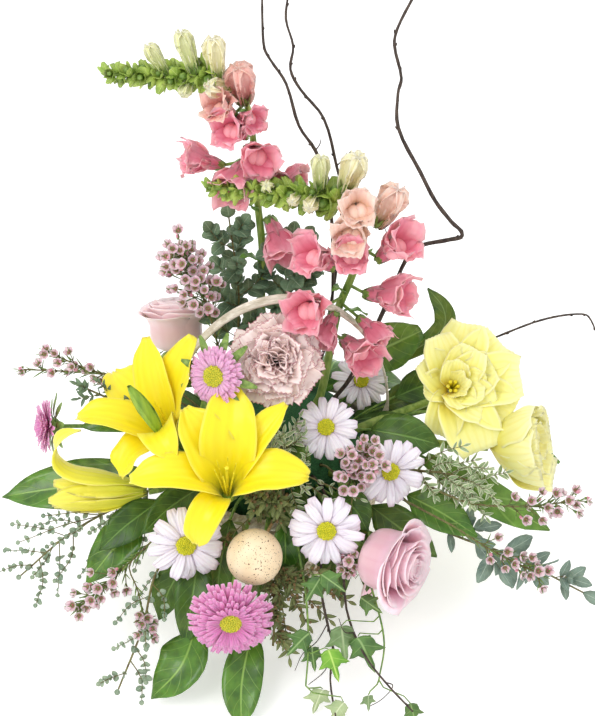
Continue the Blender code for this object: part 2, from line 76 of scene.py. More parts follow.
def startMaterial(name, roughness, sheen=0.0, subsurface=0.0, coat=0.0):
    material = bpy.data.materials.new(name)
    material.use_nodes = True
    tree = material.node_tree
    shader = tree.nodes["Principled BSDF"]
    shader.inputs["Roughness"].default_value = roughness
    shader.inputs["IOR"].default_value = plantIor
    shader.inputs["Sheen Weight"].default_value = sheen
    shader.inputs["Subsurface Weight"].default_value = subsurface
    shader.inputs["Subsurface Radius"].default_value = (0.004, 0.003, 0.002)
    shader.inputs["Subsurface Scale"].default_value = 1.0
    shader.inputs["Coat Weight"].default_value = coat
    return material, tree, shader


def mixColors(tree, share, first, second, blend="MIX"):
    node = addNode(tree, "ShaderNodeMix", {"data_type": "RGBA", "blend_type": blend})
    for socket, value in ((node.inputs[0], share), (node.inputs[6], first), (node.inputs[7], second)):
        if isinstance(value, bpy.types.NodeSocket):
            tree.links.new(value, socket)
        elif isinstance(value, str):
            socket.default_value = linearColor(value)
        else:
            socket.default_value = value
    return node.outputs[2]


def doMath(tree, operation, first, second=0.0):
    node = addNode(tree, "ShaderNodeMath", {"operation": operation}, {0: first, 1: second})
    return node.outputs[0]


def petalUv(tree):
    # u runs across a petal or leaf, v from its base to its tip
    uv = addNode(tree, "ShaderNodeUVMap", {"uv_map": "UVMap"})
    split = addNode(tree, "ShaderNodeSeparateXYZ", inputs={0: uv.outputs[0]})
    return uv.outputs[0], split.outputs[0], split.outputs[1]


def petalMaterial(name, along, edge, edgeShare, veins, roughness, veinCount, bump=0.35):
    # soft living petal: colour runs from base to tip, fine veins fan out, and the rim may be tinted
    material, tree, shader = startMaterial(name, roughness, **petalFeel)
    uv, across, length = petalUv(tree)
    base = addNode(tree, "ShaderNodeValToRGB", inputs={0: length}, stops=along).outputs[0]
    fromMiddle = doMath(tree, "ABSOLUTE", doMath(tree, "SUBTRACT", across, 0.5))
    rim = doMath(tree, "MAXIMUM", doMath(tree, "MULTIPLY", fromMiddle, 2.0),
                 doMath(tree, "POWER", length, 3.0))
    rimShare = addNode(tree, "ShaderNodeMapRange", inputs={
        0: rim, 1: edgeShare, 2: 1.0, 3: 0.0, 4: 1.0}).outputs[0]
    wave = doMath(tree, "SINE", doMath(tree, "MULTIPLY", across, veinCount * 2 * math.pi))
    cloud = addNode(tree, "ShaderNodeTexNoise", inputs={"Vector": uv, "Scale": 7.0, "Detail": 3.0})
    vein = doMath(tree, "MULTIPLY", doMath(tree, "MAXIMUM", wave, 0.0), cloud.outputs[0])
    tinted = mixColors(tree, doMath(tree, "MULTIPLY", vein, 0.5), base, veins)
    haze = doMath(tree, "MULTIPLY", cloud.outputs[0], 0.25)
    cloudy = mixColors(tree, haze, tinted, "FFFFFF", "SOFT_LIGHT")
    edged = mixColors(tree, rimShare, cloudy, edge)
    tree.links.new(edged, shader.inputs["Base Color"])
    ridges = addNode(tree, "ShaderNodeBump", inputs={
        "Strength": bump, "Distance": relief["petal"],
        "Height": doMath(tree, "ADD", wave, cloud.outputs[0])})
    tree.links.new(ridges.outputs[0], shader.inputs["Normal"])
    return material


def leafMaterial(name, dark, light, vein, roughness, edge=None, veinPairs=7, coat=0.0):
    # a leaf blade: paler midrib and side veins, mottled green between them, and a rim where variegated
    material, tree, shader = startMaterial(name, roughness, 0.0, 0.08, coat)
    _, across, length = petalUv(tree)
    fromMiddle = doMath(tree, "ABSOLUTE", doMath(tree, "SUBTRACT", across, 0.5))
    # side veins leave the midrib at a slant
    slant = doMath(tree, "SUBTRACT", length, doMath(tree, "MULTIPLY", fromMiddle, 0.55))
    side = doMath(tree, "FRACT", doMath(tree, "MULTIPLY", slant, veinPairs))
    sideLine = addNode(tree, "ShaderNodeMapRange", inputs={
        0: doMath(tree, "ABSOLUTE", doMath(tree, "SUBTRACT", side, 0.5)), 1: 0.44, 2: 0.5, 3: 0.0, 4: 0.55})
    middle = addNode(tree, "ShaderNodeMapRange", inputs={0: fromMiddle, 1: 0.012, 2: 0.035, 3: 1.0, 4: 0.0})
    line = doMath(tree, "MAXIMUM", sideLine.outputs[0], middle.outputs[0])
    place = addNode(tree, "ShaderNodeTexCoord")
    mottle = addNode(tree, "ShaderNodeTexNoise", inputs={
        "Vector": place.outputs["Object"], "Scale": 90.0, "Detail": 4.0})
    tone = addNode(tree, "ShaderNodeMapRange",
                   inputs={0: mottle.outputs[0], 1: toneRange[0], 2: toneRange[1]})
    green = mixColors(tree, tone.outputs[0], dark, light)
    veined = mixColors(tree, line, green, vein)
    if edge:  # the pale rim of a variegated leaf, uneven along its length
        wobble = doMath(tree, "MULTIPLY", mottle.outputs[0], 0.22)
        rim = doMath(tree, "ADD", fromMiddle, wobble)
        share = addNode(tree, "ShaderNodeMapRange", inputs={0: rim, 1: 0.44, 2: 0.50})
        veined = mixColors(tree, share.outputs[0], veined, edge)
    tree.links.new(veined, shader.inputs["Base Color"])
    height = doMath(tree, "SUBTRACT", mottle.outputs[0], line)
    ridges = addNode(tree, "ShaderNodeBump", inputs={
        "Strength": 0.5, "Distance": relief["leaf"], "Height": height})
    tree.links.new(ridges.outputs[0], shader.inputs["Normal"])
    return material


def skinMaterial(name, dark, light, roughness, scale, stretch=(1, 1, 1), bump=0.3, distance=0.0004,
                 subsurface=0.0, coat=0.0):
    # a plain grown or made surface: two tones in a noise of a real size, with matching relief
    material, tree, shader = startMaterial(name, roughness, 0.0, subsurface, coat)
    place = addNode(tree, "ShaderNodeTexCoord")
    mapped = addNode(tree, "ShaderNodeMapping",
                     inputs={"Vector": place.outputs["Object"], "Scale": stretch})
    grain = addNode(tree, "ShaderNodeTexNoise", inputs={
        "Vector": mapped.outputs[0], "Scale": scale, "Detail": 5.0, "Roughness": 0.6})
    share = addNode(tree, "ShaderNodeMapRange",
                    inputs={0: grain.outputs[0], 1: toneRange[0], 2: toneRange[1]})
    tree.links.new(mixColors(tree, share.outputs[0], dark, light), shader.inputs["Base Color"])
    ridges = addNode(tree, "ShaderNodeBump", inputs={
        "Strength": bump, "Distance": distance, "Height": grain.outputs[0]})
    tree.links.new(ridges.outputs[0], shader.inputs["Normal"])
    return material


# Small helpers for shapes.


def smoothValue(values, t):
    # a value read from an even row of them, eased between neighbours
    if len(values) == 1:
        return values[0]
    place = min(max(t, 0.0), 1.0) * (len(values) - 1)
    index = min(int(place), len(values) - 2)
    rest = place - index
    before = values[max(index - 1, 0)]
    after = values[min(index + 2, len(values) - 1)]
    a, b = values[index], values[index + 1]
    return a + 0.5 * rest * (b - before + rest * (2 * before - 5 * a + 4 * b - after
                                                  + rest * (3 * (a - b) + after - before)))


def startShape():
    shape = bmesh.new()
    shape.loops.layers.uv.new("UVMap")
    return shape


def facingMatrix(middle, facing, roll=0.0):
    # local Z looks along facing, and local Y is as high as it can be
    axis = Vector(facing).normalized()
    side = Vector((0, 0, 1)).cross(axis)
    side = Vector((1, 0, 0)) if side.length < 0.1 else side.normalized()
    turn = Matrix((side, axis.cross(side), axis)).transposed().to_4x4()
    return Matrix.Translation(Vector(middle) * mm) @ turn @ Matrix.Rotation(math.radians(roll), 4, "Z")


def bladeMatrix(base, way, face):
    # local Y runs along a leaf and local Z is its upper side; the base is in metres
    along = Vector(way).normalized()
    normal = Vector(face) - along * Vector(face).dot(along)
    normal = normal.normalized() if normal.length > 1e-4 else along.orthogonal().normalized()
    turn = Matrix((along.cross(normal), along, normal)).transposed().to_4x4()
    return Matrix.Translation(base) @ turn


def finishSheet(shape, verts, thickness, material, matrix=None):
    # gives the sheet made of these vertices a wall and its paint, and moves it into place
    if thickness:
        faces = list({face for vert in verts for face in vert.link_faces})
        wall = bmesh.ops.solidify(shape, geom=faces, thickness=thickness * mm)["geom"]
        faces += [item for item in wall if isinstance(item, bmesh.types.BMFace)]
        verts = {vert for face in faces for vert in face.verts}
    for face in {face for vert in verts for face in vert.link_faces}:
        face.material_index = material
        face.smooth = True
    if matrix:
        bmesh.ops.transform(shape, matrix=matrix, verts=list(verts))


def addPetal(shape, head, turn, start, angles, length, width, outline, cup=0.0, ruffle=0.0, waves=3.0,
             phase=0.0, twist=0.0, fold=0.0, cuts=(4, 9), thickness=0.35, material=1, notch=0.0, wrap=0.0):
    # one petal: a grid laid out in its own plane, bent along its length, cupped across and given a wall.
    # Angles are from the flower's axis, so 0 stands straight up and 90 lies flat. With a wrap, the petal
    # hugs the axis, and wrap is the least radius it can curl to.
    across, along = cuts
    verts = bmesh.ops.create_grid(shape, x_segments=across, y_segments=along, size=1.0,
                                  calc_uvs=True)["verts"]
    spine = [(start[0], start[1], math.radians(angles[0]))]
    for row in range(along):
        angle = math.radians(smoothValue(angles, (row + 0.5) / along))
        reach, height, _ = spine[-1]
        spine.append((reach + length / along * math.sin(angle), height + length / along * math.cos(angle),
                      math.radians(smoothValue(angles, (row + 1) / along))))
    lean = math.radians(twist)
    for vert in verts:
        s, t = vert.co.x, (vert.co.y + 1) / 2
        reach, height, angle = spine[round(t * along)]
        half = 0.5 * width * max(smoothValue(outline, t), 0.02)
        side = s * half * math.cos(lean * t)
        rise = (cup * s * s * half + s * half * math.sin(lean * t) - fold * (1 - abs(s)) * half
                + ruffle * s * s * t * math.sin(waves * 2 * math.pi * t + phase + 1.6 * s)
                + 0.5 * ruffle * t ** 4 * math.sin(waves * 2.4 * s + phase))
        if t > 0.99:  # a toothed or pinked tip
            pull = notch * (round((s + 1) / 2 * across) % 2)
            reach, height = reach - pull * math.sin(angle), height - pull * math.cos(angle)
        out = reach - rise * math.cos(angle)
        if wrap:
            curl = side / max(out, wrap)
            side, out = out * math.sin(curl), out * math.cos(curl)
        vert.co = Vector((side, out, height + rise * math.sin(angle))) * mm
    finishSheet(shape, verts, thickness, material, head @ Matrix.Rotation(math.radians(turn), 4, "Z"))


blade = {"cup": 0.25, "wave": 1.0, "waves": 2.5, "thickness": 0.5}


def addBlade(shape, route, face, width, outline, material, phase=0.0, across=6):
    # a leaf blade that follows a route in metres, its upper side turned to face
    rows = len(route) - 1
    verts = bmesh.ops.create_grid(shape, x_segments=across, y_segments=rows, size=1.0,
                                  calc_uvs=True)["verts"]
    for vert in verts:
        s, t = vert.co.x, (vert.co.y + 1) / 2
        row = round(t * rows)
        way = (route[min(row + 1, rows)] - route[max(row - 1, 0)]).normalized()
        look = (Vector(face) - way * Vector(face).dot(way)).normalized()
        half = 0.5 * width * max(smoothValue(outline, t), 0.03)
        ripple = math.sin(blade["waves"] * 2 * math.pi * t + phase + 2 * s)
        rise = blade["cup"] * half * abs(s) ** 1.5 + blade["wave"] * s * s * ripple
        vert.co = route[row] + (way.cross(look) * s * half + look * rise) * mm
    finishSheet(shape, verts, blade["thickness"], material)


def smoothRoute(points, startWay, endWay, steps):
    # a chain of Bezier curves through the points, leaving and arriving along the given ways
    ways = [startWay.normalized()]
    ways += [(after - before).normalized() for before, after in zip(points, points[2:])]
    ways += [endWay.normalized()]
    route = [points[0]]
    for index, (a, b) in enumerate(zip(points, points[1:])):
        pull = (b - a).length / 3
        leave, arrive = a + ways[index] * pull, b - ways[index + 1] * pull
        route += geometry.interpolate_bezier(a, leave, arrive, b, steps + 1)[1:]
    return route


def addTube(shape, route, radii, material=0, sides=8):
    # a round stem along a route, with its radii in millimetres spaced evenly from its foot to its tip
    curve = bpy.data.curves.new("tube", "CURVE")
    curve.dimensions = "3D"
    curve.bevel_depth = 1.0
    curve.bevel_resolution = sides // 2 - 2
    curve.use_fill_caps = True
    spline = curve.splines.new("POLY")
    spline.points.add(len(route) - 1)
    for index, point in enumerate(route):
        place = index * (len(radii) - 1) / (len(route) - 1)
        before = min(int(place), len(radii) - 2)
        radius = radii[before] + (radii[before + 1] - radii[before]) * (place - before)
        spline.points[index].co = (*point, 1)
        spline.points[index].radius = radius * mm
    carrier = bpy.data.objects.new("tube", curve)
    mesh = bpy.data.meshes.new_from_object(carrier)
    mesh.shade_smooth()
    mesh.polygons.foreach_set("material_index", [material] * len(mesh.polygons))
    shape.from_mesh(mesh)
    bpy.data.objects.remove(carrier)
    bpy.data.curves.remove(curve)
    bpy.data.meshes.remove(mesh)


def addBall(shape, place, radii, material, cuts=1, matrix=None):
    # a rounded lump: an icosphere squeezed to three radii
    size = Matrix.Diagonal((*[radius * mm for radius in radii], 1))
    verts = bmesh.ops.create_icosphere(shape, subdivisions=cuts, radius=1.0)["verts"]
    finishSheet(shape, verts, 0, material, Matrix.Translation(place) @ (matrix or Matrix()) @ size)


def headPoint(head, x, y, z):
    # a place in metres from one in millimetres on a flower head, where Z is the way it faces
    return head @ (Vector((x, y, z)) * mm)


def addHeadBall(shape, head, place, radii, material, cuts):
    addBall(shape, headPoint(head, *place), radii, material, cuts, head.to_3x3().to_4x4())


def ringPoint(radius, angle, height):
    return Vector((radius * math.cos(angle), radius * math.sin(angle), height)) * mm


def turnOut(way, turn):
    # a direction square to a stem, turned round it
    return Matrix.Rotation(turn, 3, way) @ way.orthogonal().normalized()


def stampShape(shape, template, matrix):
    # one more copy of a finished template mesh
    copy = template.copy()
    copy.transform(matrix)
    shape.from_mesh(copy)
    bpy.data.meshes.remove(copy)


def repaintTemplate(template, swaps):
    # the same template with some of its paints exchanged
    copy = template.copy()
    for face in copy.polygons:
        face.material_index = swaps.get(face.material_index, face.material_index)
    return copy


def keepTemplate(shape, name):
    template = bpy.data.meshes.new(name)
    shape.to_mesh(template)
    shape.free()
    return template


def nodeFor(name):
    # a piece is named after the solid that it replaces, so lilyFront stands for lily_front
    return "".join("_" + letter.lower() if letter.isupper() else letter for letter in name)


def finishPiece(shape, name, materials, slot, *nodes):
    mesh = bpy.data.meshes.new(name)
    shape.to_mesh(mesh)
    shape.free()
    for material in materials:
        mesh.materials.append(material)
    piece = bpy.data.objects.new(name, mesh)
    bpy.context.scene.collection.objects.link(piece)
    nodes = nodes or [nodeFor(name)]
    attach(piece, "root")
    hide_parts(*nodes)


stem = {"footRing": 0.6, "straight": 25, "stalkDepth": 45}


def stemStart(node):
    # where a solid's stem ends inside the foam, and the way it leaves, read from its mesh
    verts = [vert.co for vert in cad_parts[node].data.vertices]
    nearest = min((co - foamAim).length for co in verts)
    ring = [co for co in verts if (co - foamAim).length < nearest + stem["footRing"] * mm]
    foot = sum(ring, Vector()) / len(ring)
    return foot, (foot - foamAim).normalized()


def stemRoute(name, points, endWay=None, steps=6):
    # from inside the foam, straight out of its hole and on through the points, which are in millimetres
    foot, way = stemStart(nodeFor(name))
    places = [Vector(point) * mm for point in points]
    endWay = endWay or (places[-1] - (places[-2] if len(places) > 1 else foot))
    return [foot] + smoothRoute([foot + way * stem["straight"] * mm, *places], way, Vector(endWay), steps)


def nearestPoint(route, place):
    return min(route, key=lambda point: (point - place).length)


def startFlower(name, plan, neck, radii, sides=10):
    # a flower's stem up to its neck, so many millimetres below its middle, and the place of its head
    head = facingMatrix(plan["middle"], plan["facing"])
    axis = Vector(plan["facing"]).normalized()
    shape = startShape()
    route = stemRoute(name, [Vector(plan["middle"]) - axis * neck], axis)
    addTube(shape, route, radii, 0, sides)
    return shape, head, route


def alongRoute(route, share):
    place = min(max(share, 0.0), 0.9999) * (len(route) - 1)
    index = int(place)
    way = (route[index + 1] - route[index]).normalized()
    return route[index].lerp(route[index + 1], place - index), way


# Materials, named for what they are.

stemGreen = skinMaterial("green stem skin", "4F7430", "86A64E", 0.5, 300, (1, 1, 0.2), subsurface=0.05)
thickStemGreen = skinMaterial("smooth flower stalk", "5E7F2E", "9DB35B", 0.45, 220, (1, 1, 0.2))
calyxGreen = skinMaterial("calyx and bract skin", "55752F", "8CA653", 0.55, 260)
barkBrown = skinMaterial("dried willow bark", "2B2421", "574A41", 0.85, 420, (1, 1, 0.25), 0.6, 0.0005)
redTwig = skinMaterial("waxflower twig bark", "5C4A35", "7F7F4A", 0.7, 400)
driedReed = skinMaterial("whitewashed reed", "A9987F", "E2D9C8", 0.8, 230, (1, 1, 1), 0.6, 0.0005)
handleReed = skinMaterial("whitewashed flat reed", "C2B7A0", "EFE8DA", 0.7, 260, (0.25, 1, 1), 0.6, 0.0004)
wetFoam = skinMaterial("wet floral foam", "1E4A2A", "34683B", 0.95, 700, bump=0.6, distance=0.0008)
linerPlastic = skinMaterial("dark moulded liner", "1B2A1C", "243726", 0.5, 90, bump=0.1)
pickWood = skinMaterial("split bamboo pick", "A07C4C", "C9A774", 0.7, 300, (1, 1, 0.1))
discGold = skinMaterial("packed disc florets", "A4AC1C", "E4DA2C", 0.7, 900, bump=0.8, subsurface=0.1)
discGreenGold = skinMaterial("young disc florets", "9AA82C", "E3D33C", 0.7, 900, bump=0.8, subsurface=0.1)

lilyPetal = petalMaterial("lily tepal",
                          [(0.0, "9FB22A"), (0.16, "D6CE12"), (0.35, "F3DA06"), (1.0, "F8E227")], "FBEA55",
                          0.9, "EBCB0A", 0.4, veinCount=5, bump=0.22)
lilyOuter = petalMaterial("lily tepal back",
                          [(0.0, "A9BA30"), (0.25, "DCDB34"), (0.6, "F0E53A"), (1.0, "F5EA48")], "F8EC76",
                          0.9, "D6CC24", 0.45, veinCount=5, bump=0.25)
lilyGreen = skinMaterial("green lily bud", "78A02C", "A9C644", 0.4, 120, (1, 1, 0.15), subsurface=0.1)
lilyThread = skinMaterial("lily filament", "C8BE1E", "EFDD2A", 0.45, 200, subsurface=0.1)
daisyRay = petalMaterial("white daisy ray",
                         [(0.0, "D9C3D6"), (0.25, "EFE3EE"), (0.7, "F8F2F7"), (1.0, "F3E2EF")], "F1DCEC",
                         0.9, "DCC3DA", 0.55, veinCount=3, bump=0.4)
asterRay = petalMaterial("pink aster ray", [(0.0, "BC4E90"), (0.4, "D76CAA"), (1.0, "E58ABE")],
                         "EFB2D6", 0.85, "CB62A4", 0.5, veinCount=2)
paleAsterRay = petalMaterial("pale aster ray", [(0.0, "F6DCE9"), (0.35, "EDAFD2"), (1.0, "EA9DCA")],
                             "F4C3DE", 0.85, "E08FBE", 0.5, veinCount=2)
carnationPetal = petalMaterial("dusty carnation petal",
                               [(0.0, "D9A49C"), (0.4, "F5D5CB"), (0.965, "FBE4DB"), (1.0, "BE6E7C")],
                               "B85C72", 0.968, "F2CFC8", 0.3, veinCount=7, bump=0.25)
rosePetal = petalMaterial("pink rose petal",
                          [(0.0, "F3E0CB"), (0.35, "F8C6CC"), (0.75, "FAC3D3"), (1.0, "FDDFE7")], "FBDFE6",
                          0.92, "F0A9BC", 0.35, veinCount=5, bump=0.15)
paleRosePetal = petalMaterial("pale rose petal",
                              [(0.0, "EFDDC8"), (0.3, "F6D4D0"), (0.7, "F5CCCE"), (1.0, "FADEE0")],
                              "FBE6E6", 0.92, "EFBFC0", 0.35, veinCount=5, bump=0.15)
tulipPetal = petalMaterial("double tulip petal",
                           [(0.0, "E7AE1C"), (0.22, "F4DC40"), (0.5, "F9F07C"), (1.0, "FCF8A8")], "FDF9B8",
                           0.9, "F0E25C", 0.45, veinCount=7, bump=0.3)
snapPink = petalMaterial("coral snapdragon petal", [(0.0, "D45C74"), (0.5, "E5768C"), (1.0, "EE97A6")],
                         "F3AEB6", 0.85, "CC5470", 0.55, veinCount=5)
snapPeach = petalMaterial("peach snapdragon petal", [(0.0, "D9B07A"), (0.5, "EDC0A6"), (1.0, "F2C9BB")],
                          "F5DACB", 0.85, "E09C8E", 0.55, veinCount=5)
snapCream = petalMaterial("cream snapdragon petal", [(0.0, "C3CB7A"), (0.5, "EBE3A9"), (1.0, "F1E7BE")],
                          "F6EFD2", 0.85, "D9D08C", 0.55, veinCount=5)
snapSalmon = petalMaterial("salmon snapdragon petal", [(0.0, "D98A7C"), (0.5, "E29C93"), (1.0, "EDB2A6")],
                           "F1C3B4", 0.85, "CF7C78", 0.4, veinCount=5)
snapGreenTip = petalMaterial("green-tipped cream bud", [(0.0, "7E9A3C"), (0.35, "C9D283"), (1.0, "EBE8B4")],
                             "F3F0CE", 0.9, "B9C36C", 0.4, veinCount=5)
snapScale = leafMaterial("snapdragon bud scale", "7D9E34", "B4CB5C", "CCDD82", 0.5, veinPairs=2)
waxPetal = petalMaterial("waxflower petal", [(0.0, "CE7A90"), (0.4, "EDC2CE"), (1.0, "F7E2E6")],
                         "FAEFF0", 0.8, "E3A3B4", 0.35, veinCount=2)
waxHeart = skinMaterial("waxflower heart", "7E2F45", "B05A6C", 0.4, 900)
waxBud = skinMaterial("waxflower bud", "C26C84", "EAB0BE", 0.4, 500, coat=0.2)

salalLeaf = leafMaterial("glossy salal leaf", "305C14", "508322", "7EA648", 0.36, coat=0.2, veinPairs=6)
tulipLeaf = leafMaterial("tulip leaf", "426E22", "669634", "88B050", 0.42, veinPairs=2)
lilyLeaf = leafMaterial("lily leaf", "47752A", "6B983A", "8FB458", 0.38, veinPairs=2)
# a darker copy of the salal leaf: painted shade for leaves lying under and between the flowers
shadedLeaf = leafMaterial("shaded under leaf", "294A14", "42691E", "648A3E", 0.42)
greyLeaf = leafMaterial("eucalyptus leaf", "66806A", "93A68A", "B4C2A6", 0.7, veinPairs=5)
darkGreyLeaf = leafMaterial("shaded eucalyptus leaf", "48644A", "6B8666", "8DA386", 0.65, veinPairs=5)
blueLeaf = leafMaterial("blue gum leaf", "5A7268", "82998A", "A3B5A5", 0.7, veinPairs=5)
edgedLeaf = leafMaterial("variegated pittosporum leaf", "6A8858", "96AE7C", "B4C496", 0.5, edge="E9EACB")
ivyLeaf = leafMaterial("ivy leaf", "365A28", "567E3A", "86A565", 0.42, veinPairs=4)
brightIvyLeaf = leafMaterial("bright young ivy leaf", "5E962A", "84B63C", "B2D46A", 0.4, veinPairs=4)
paleIvyLeaf = leafMaterial("faded ivy leaf", "93A878", "B2C292", "CCD7AE", 0.5, veinPairs=4)
greyIvyLeaf = leafMaterial("grey-green ivy leaf", "637E50", "82A06C", "A2B788", 0.45, veinPairs=4)
seedLeaf = leafMaterial("seeded foliage leaf", "5B6A3A", "7B8450", "9A9B6A", 0.65, veinPairs=3)
seedBrown = skinMaterial("seed heads", "6B5638", "93794F", 0.8, 700)
needleLeaf = skinMaterial("waxflower needle leaf", "4B6B2F", "7B9548", 0.5, 300)
print("materials made")


# Basket, liner and foam.

basket = {"height": 86, "baseRadius": 66, "topRadius": 88, "wall": 4, "floor": 3.6, "stakes": 26,
          "stakeReed": 1.5, "rows": 15, "weaver": 2.7, "weave": 1.5, "lowestRow": 2.4, "topRow": 84,
          "rimRadius": 89, "rimHeight": 90.8, "rimReed": 2.6, "rimCoil": 2.1, "rimTwist": 40,
          "rimSteps": 240}


def bowlRadius(height):
    return basket["baseRadius"] + (basket["topRadius"] - basket["baseRadius"]) * height / basket["height"]


def makeBasket():
    shape = startShape()
    middle = basket["wall"] / 2
    stakes = basket["stakes"]
    for index in range(stakes):  # upright stakes
        angle = 2 * math.pi * index / stakes
        route = [ringPoint(bowlRadius(z) - middle, angle, z) for z in (1, 30, 60, basket["height"])]
        addTube(shape, route, [basket["stakeReed"]] * 2, 0, 6)
    for row in range(basket["rows"]):  # weavers pass in front of one stake and behind the next
        z = basket["lowestRow"] + row * (basket["topRow"] - basket["lowestRow"]) / (basket["rows"] - 1)
        route = []
        for step in range(stakes * 4 + 1):
            wave = math.cos(math.pi * step / 4 + math.pi * row)
            out = bowlRadius(z) - middle + basket["weave"] * wave
            route.append(ringPoint(out, 2 * math.pi * step / (stakes * 4), z))
        addTube(shape, route, [basket["weaver"]] * 2, 0, 6)
    inside = (basket["baseRadius"] - 3) * mm
    floor = bmesh.ops.create_cone(shape, cap_ends=True, segments=40, radius1=inside, radius2=inside,
                                  depth=basket["floor"] * mm)
    bmesh.ops.transform(shape, matrix=Matrix.Translation((0, 0, basket["floor"] / 2 * mm)),
                        verts=floor["verts"])
    finishPiece(shape, "wovenBowl", [driedReed], "wicker", "basket_bowl")

    shape = startShape()
    for strand in range(3):  # three reeds laid round each other make the border
        route = []
        for step in range(basket["rimSteps"] + 1):
            angle = 2 * math.pi * step / basket["rimSteps"]
            turn = basket["rimTwist"] * angle / 2 + 2 * math.pi * strand / 3
            route.append(ringPoint(basket["rimRadius"] + basket["rimCoil"] * math.cos(turn), angle,
                                   basket["rimHeight"] + basket["rimCoil"] * math.sin(turn)))
        addTube(shape, route, [basket["rimReed"]] * 2, 0, 6)
    finishPiece(shape, "twistedRim", [driedReed], "wicker", "basket_rim")


handle = {"width": 7.5, "thickness": 3.4, "foot": 24, "spring": 120, "halfSpan": 88, "top": 240, "yaw": 10,
          "inset": 2.6, "arcSteps": 16, "middleDrop": 0.5, "reedShare": 0.48, "edge": 0.6}


def makeHandle():
    yaw = math.radians(handle["yaw"])
    span, flat = Vector((math.cos(yaw), math.sin(yaw), 0)), Vector((-math.sin(yaw), math.cos(yaw), 0))
    hoop = [(bowlRadius(min(z, basket["height"])) - basket["wall"] - handle["inset"], z)
            for z in (handle["foot"], 56, 86, 97)]  # one leg, and then a quarter of the arch
    for step in range(handle["arcSteps"] + 1):
        angle = math.pi / 2 * step / handle["arcSteps"]
        hoop.append((handle["halfSpan"] * math.cos(angle),
                     handle["spring"] + (handle["top"] - handle["spring"]) * math.sin(angle)))
    outline = [(-x, z) for x, z in hoop] + [(x, z) for x, z in reversed(hoop[:-1])]
    route = [span * x + Vector((0, 0, z)) for x, z in outline]
    last = len(route) - 1
    width = handle["width"] / 3
    shape = startShape()
    for lane, drop in ((-1, 0.0), (0, handle["middleDrop"]), (1, 0.0)):  # three narrow reeds side by side
        verts = bmesh.ops.create_grid(shape, x_segments=6, y_segments=last, size=1.0,
                                      calc_uvs=True)["verts"]
        for vert in verts:
            row = round((vert.co.y + 1) / 2 * last)
            way = (route[min(row + 1, last)] - route[max(row - 1, 0)]).normalized()
            s = vert.co.x
            crown = (handle["thickness"] / 2 - drop) * math.sqrt(max(1 - 0.8 * s * s, 0))
            side = flat * (lane + handle["reedShare"] * s) * width
            vert.co = (route[row] + side + flat.cross(way) * crown) * mm
        finishSheet(shape, verts, handle["thickness"] - handle["edge"], 0)
    bmesh.ops.recalc_face_normals(shape, faces=shape.faces[:])
    finishPiece(shape, "reedHandle", [handleReed], "wicker", "basket_handle")


def dressSolid(node, material):
    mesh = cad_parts[node].data
    mesh.materials.clear()
    mesh.materials.append(material)


egg = {"middle": (-17, -134, 106), "width": 40.6, "height": 44.6, "tilt": (0.1, -0.35, 0.93)}


def eggMaterial():
    # craft egg: eggshell paint in cream tan, flecked with dark specks of mixed size
    material, tree, shader = startMaterial("speckled eggshell", 0.42, 0.0, 0.08)
    place = addNode(tree, "ShaderNodeTexCoord")
    blotch = addNode(tree, "ShaderNodeTexNoise", inputs={"Vector": place.outputs["Object"], "Scale": 60.0})
    ground = mixColors(tree, blotch.outputs[0], "DDBE90", "F5E6C8")
    for scale, size, share in ((420.0, 0.20, 0.5), (900.0, 0.22, 0.4), (230.0, 0.14, 0.45)):
        cells = addNode(tree, "ShaderNodeTexVoronoi", {"feature": "F1"}, {
            "Vector": place.outputs["Object"], "Scale": scale})
        keep = addNode(tree, "ShaderNodeSeparateColor", inputs={0: cells.outputs["Color"]})
        chosen = doMath(tree, "LESS_THAN", keep.outputs[0], share)
        spot = doMath(tree, "LESS_THAN", cells.outputs["Distance"], size)
        ground = mixColors(tree, doMath(tree, "MULTIPLY", spot, chosen), ground, "5A3E28")
    tree.links.new(ground, shader.inputs["Base Color"])
    return material


def makeEgg():
    shape = startShape()
    verts = bmesh.ops.create_uvsphere(shape, u_segments=48, v_segments=32, radius=1.0)["verts"]
    for vert in verts:
        taper = 1 - 0.10 * vert.co.z - 0.04 * vert.co.z ** 2  # blunt below, finer on top
        vert.co = Vector((vert.co.x * egg["width"] / 2 * taper, vert.co.y * egg["width"] / 2 * taper,
                          vert.co.z * egg["height"] / 2)) * mm
    finishSheet(shape, verts, 0, 0, facingMatrix(egg["middle"], egg["tilt"]))
    finishPiece(shape, "speckledEgg", [eggMaterial()], "egg_shell", "egg")


makeBasket()
makeHandle()
makeEgg()
for solid, finish in (("floral_foam", wetFoam), ("liner", linerPlastic), ("egg_pick", pickWood)):
    dressSolid(solid, finish)
print("basket and egg made")


# Lilies.

lilies = {
    "lilyFront": {"middle": (-37, -107, 159), "facing": (0.0, -0.30, 0.95),
                  "petals": [  # turn, length, width, angles from the axis
                      (94, 88, 30, (10, 30, 62, 98, 116)), (-5, 87, 41, (8, 22, 40, 66, 88)),
                      (-44, 86, 22, (10, 26, 48, 66, 78)), (-88, 78, 32, (8, 28, 68, 102, 124)),
                      (150, 62, 25, (10, 46, 100, 142, 168)), (36, 78, 37, (8, 22, 42, 60, 76))]},
    "lilyLeft": {"middle": (-88, -58, 166), "facing": (-0.38, -0.10, 0.92),
                 "petals": [(64, 86, 30, (8, 20, 32, 42, 52)), (20, 92, 36, (8, 26, 42, 50, 58)),
                            (158, 82, 30, (8, 24, 42, 66, 100)), (-155, 62, 28, (8, 34, 66, 112, 150)),
                            (-84, 80, 30, (8, 18, 34, 96, 168)), (108, 86, 35, (8, 30, 58, 84, 104))]},
}


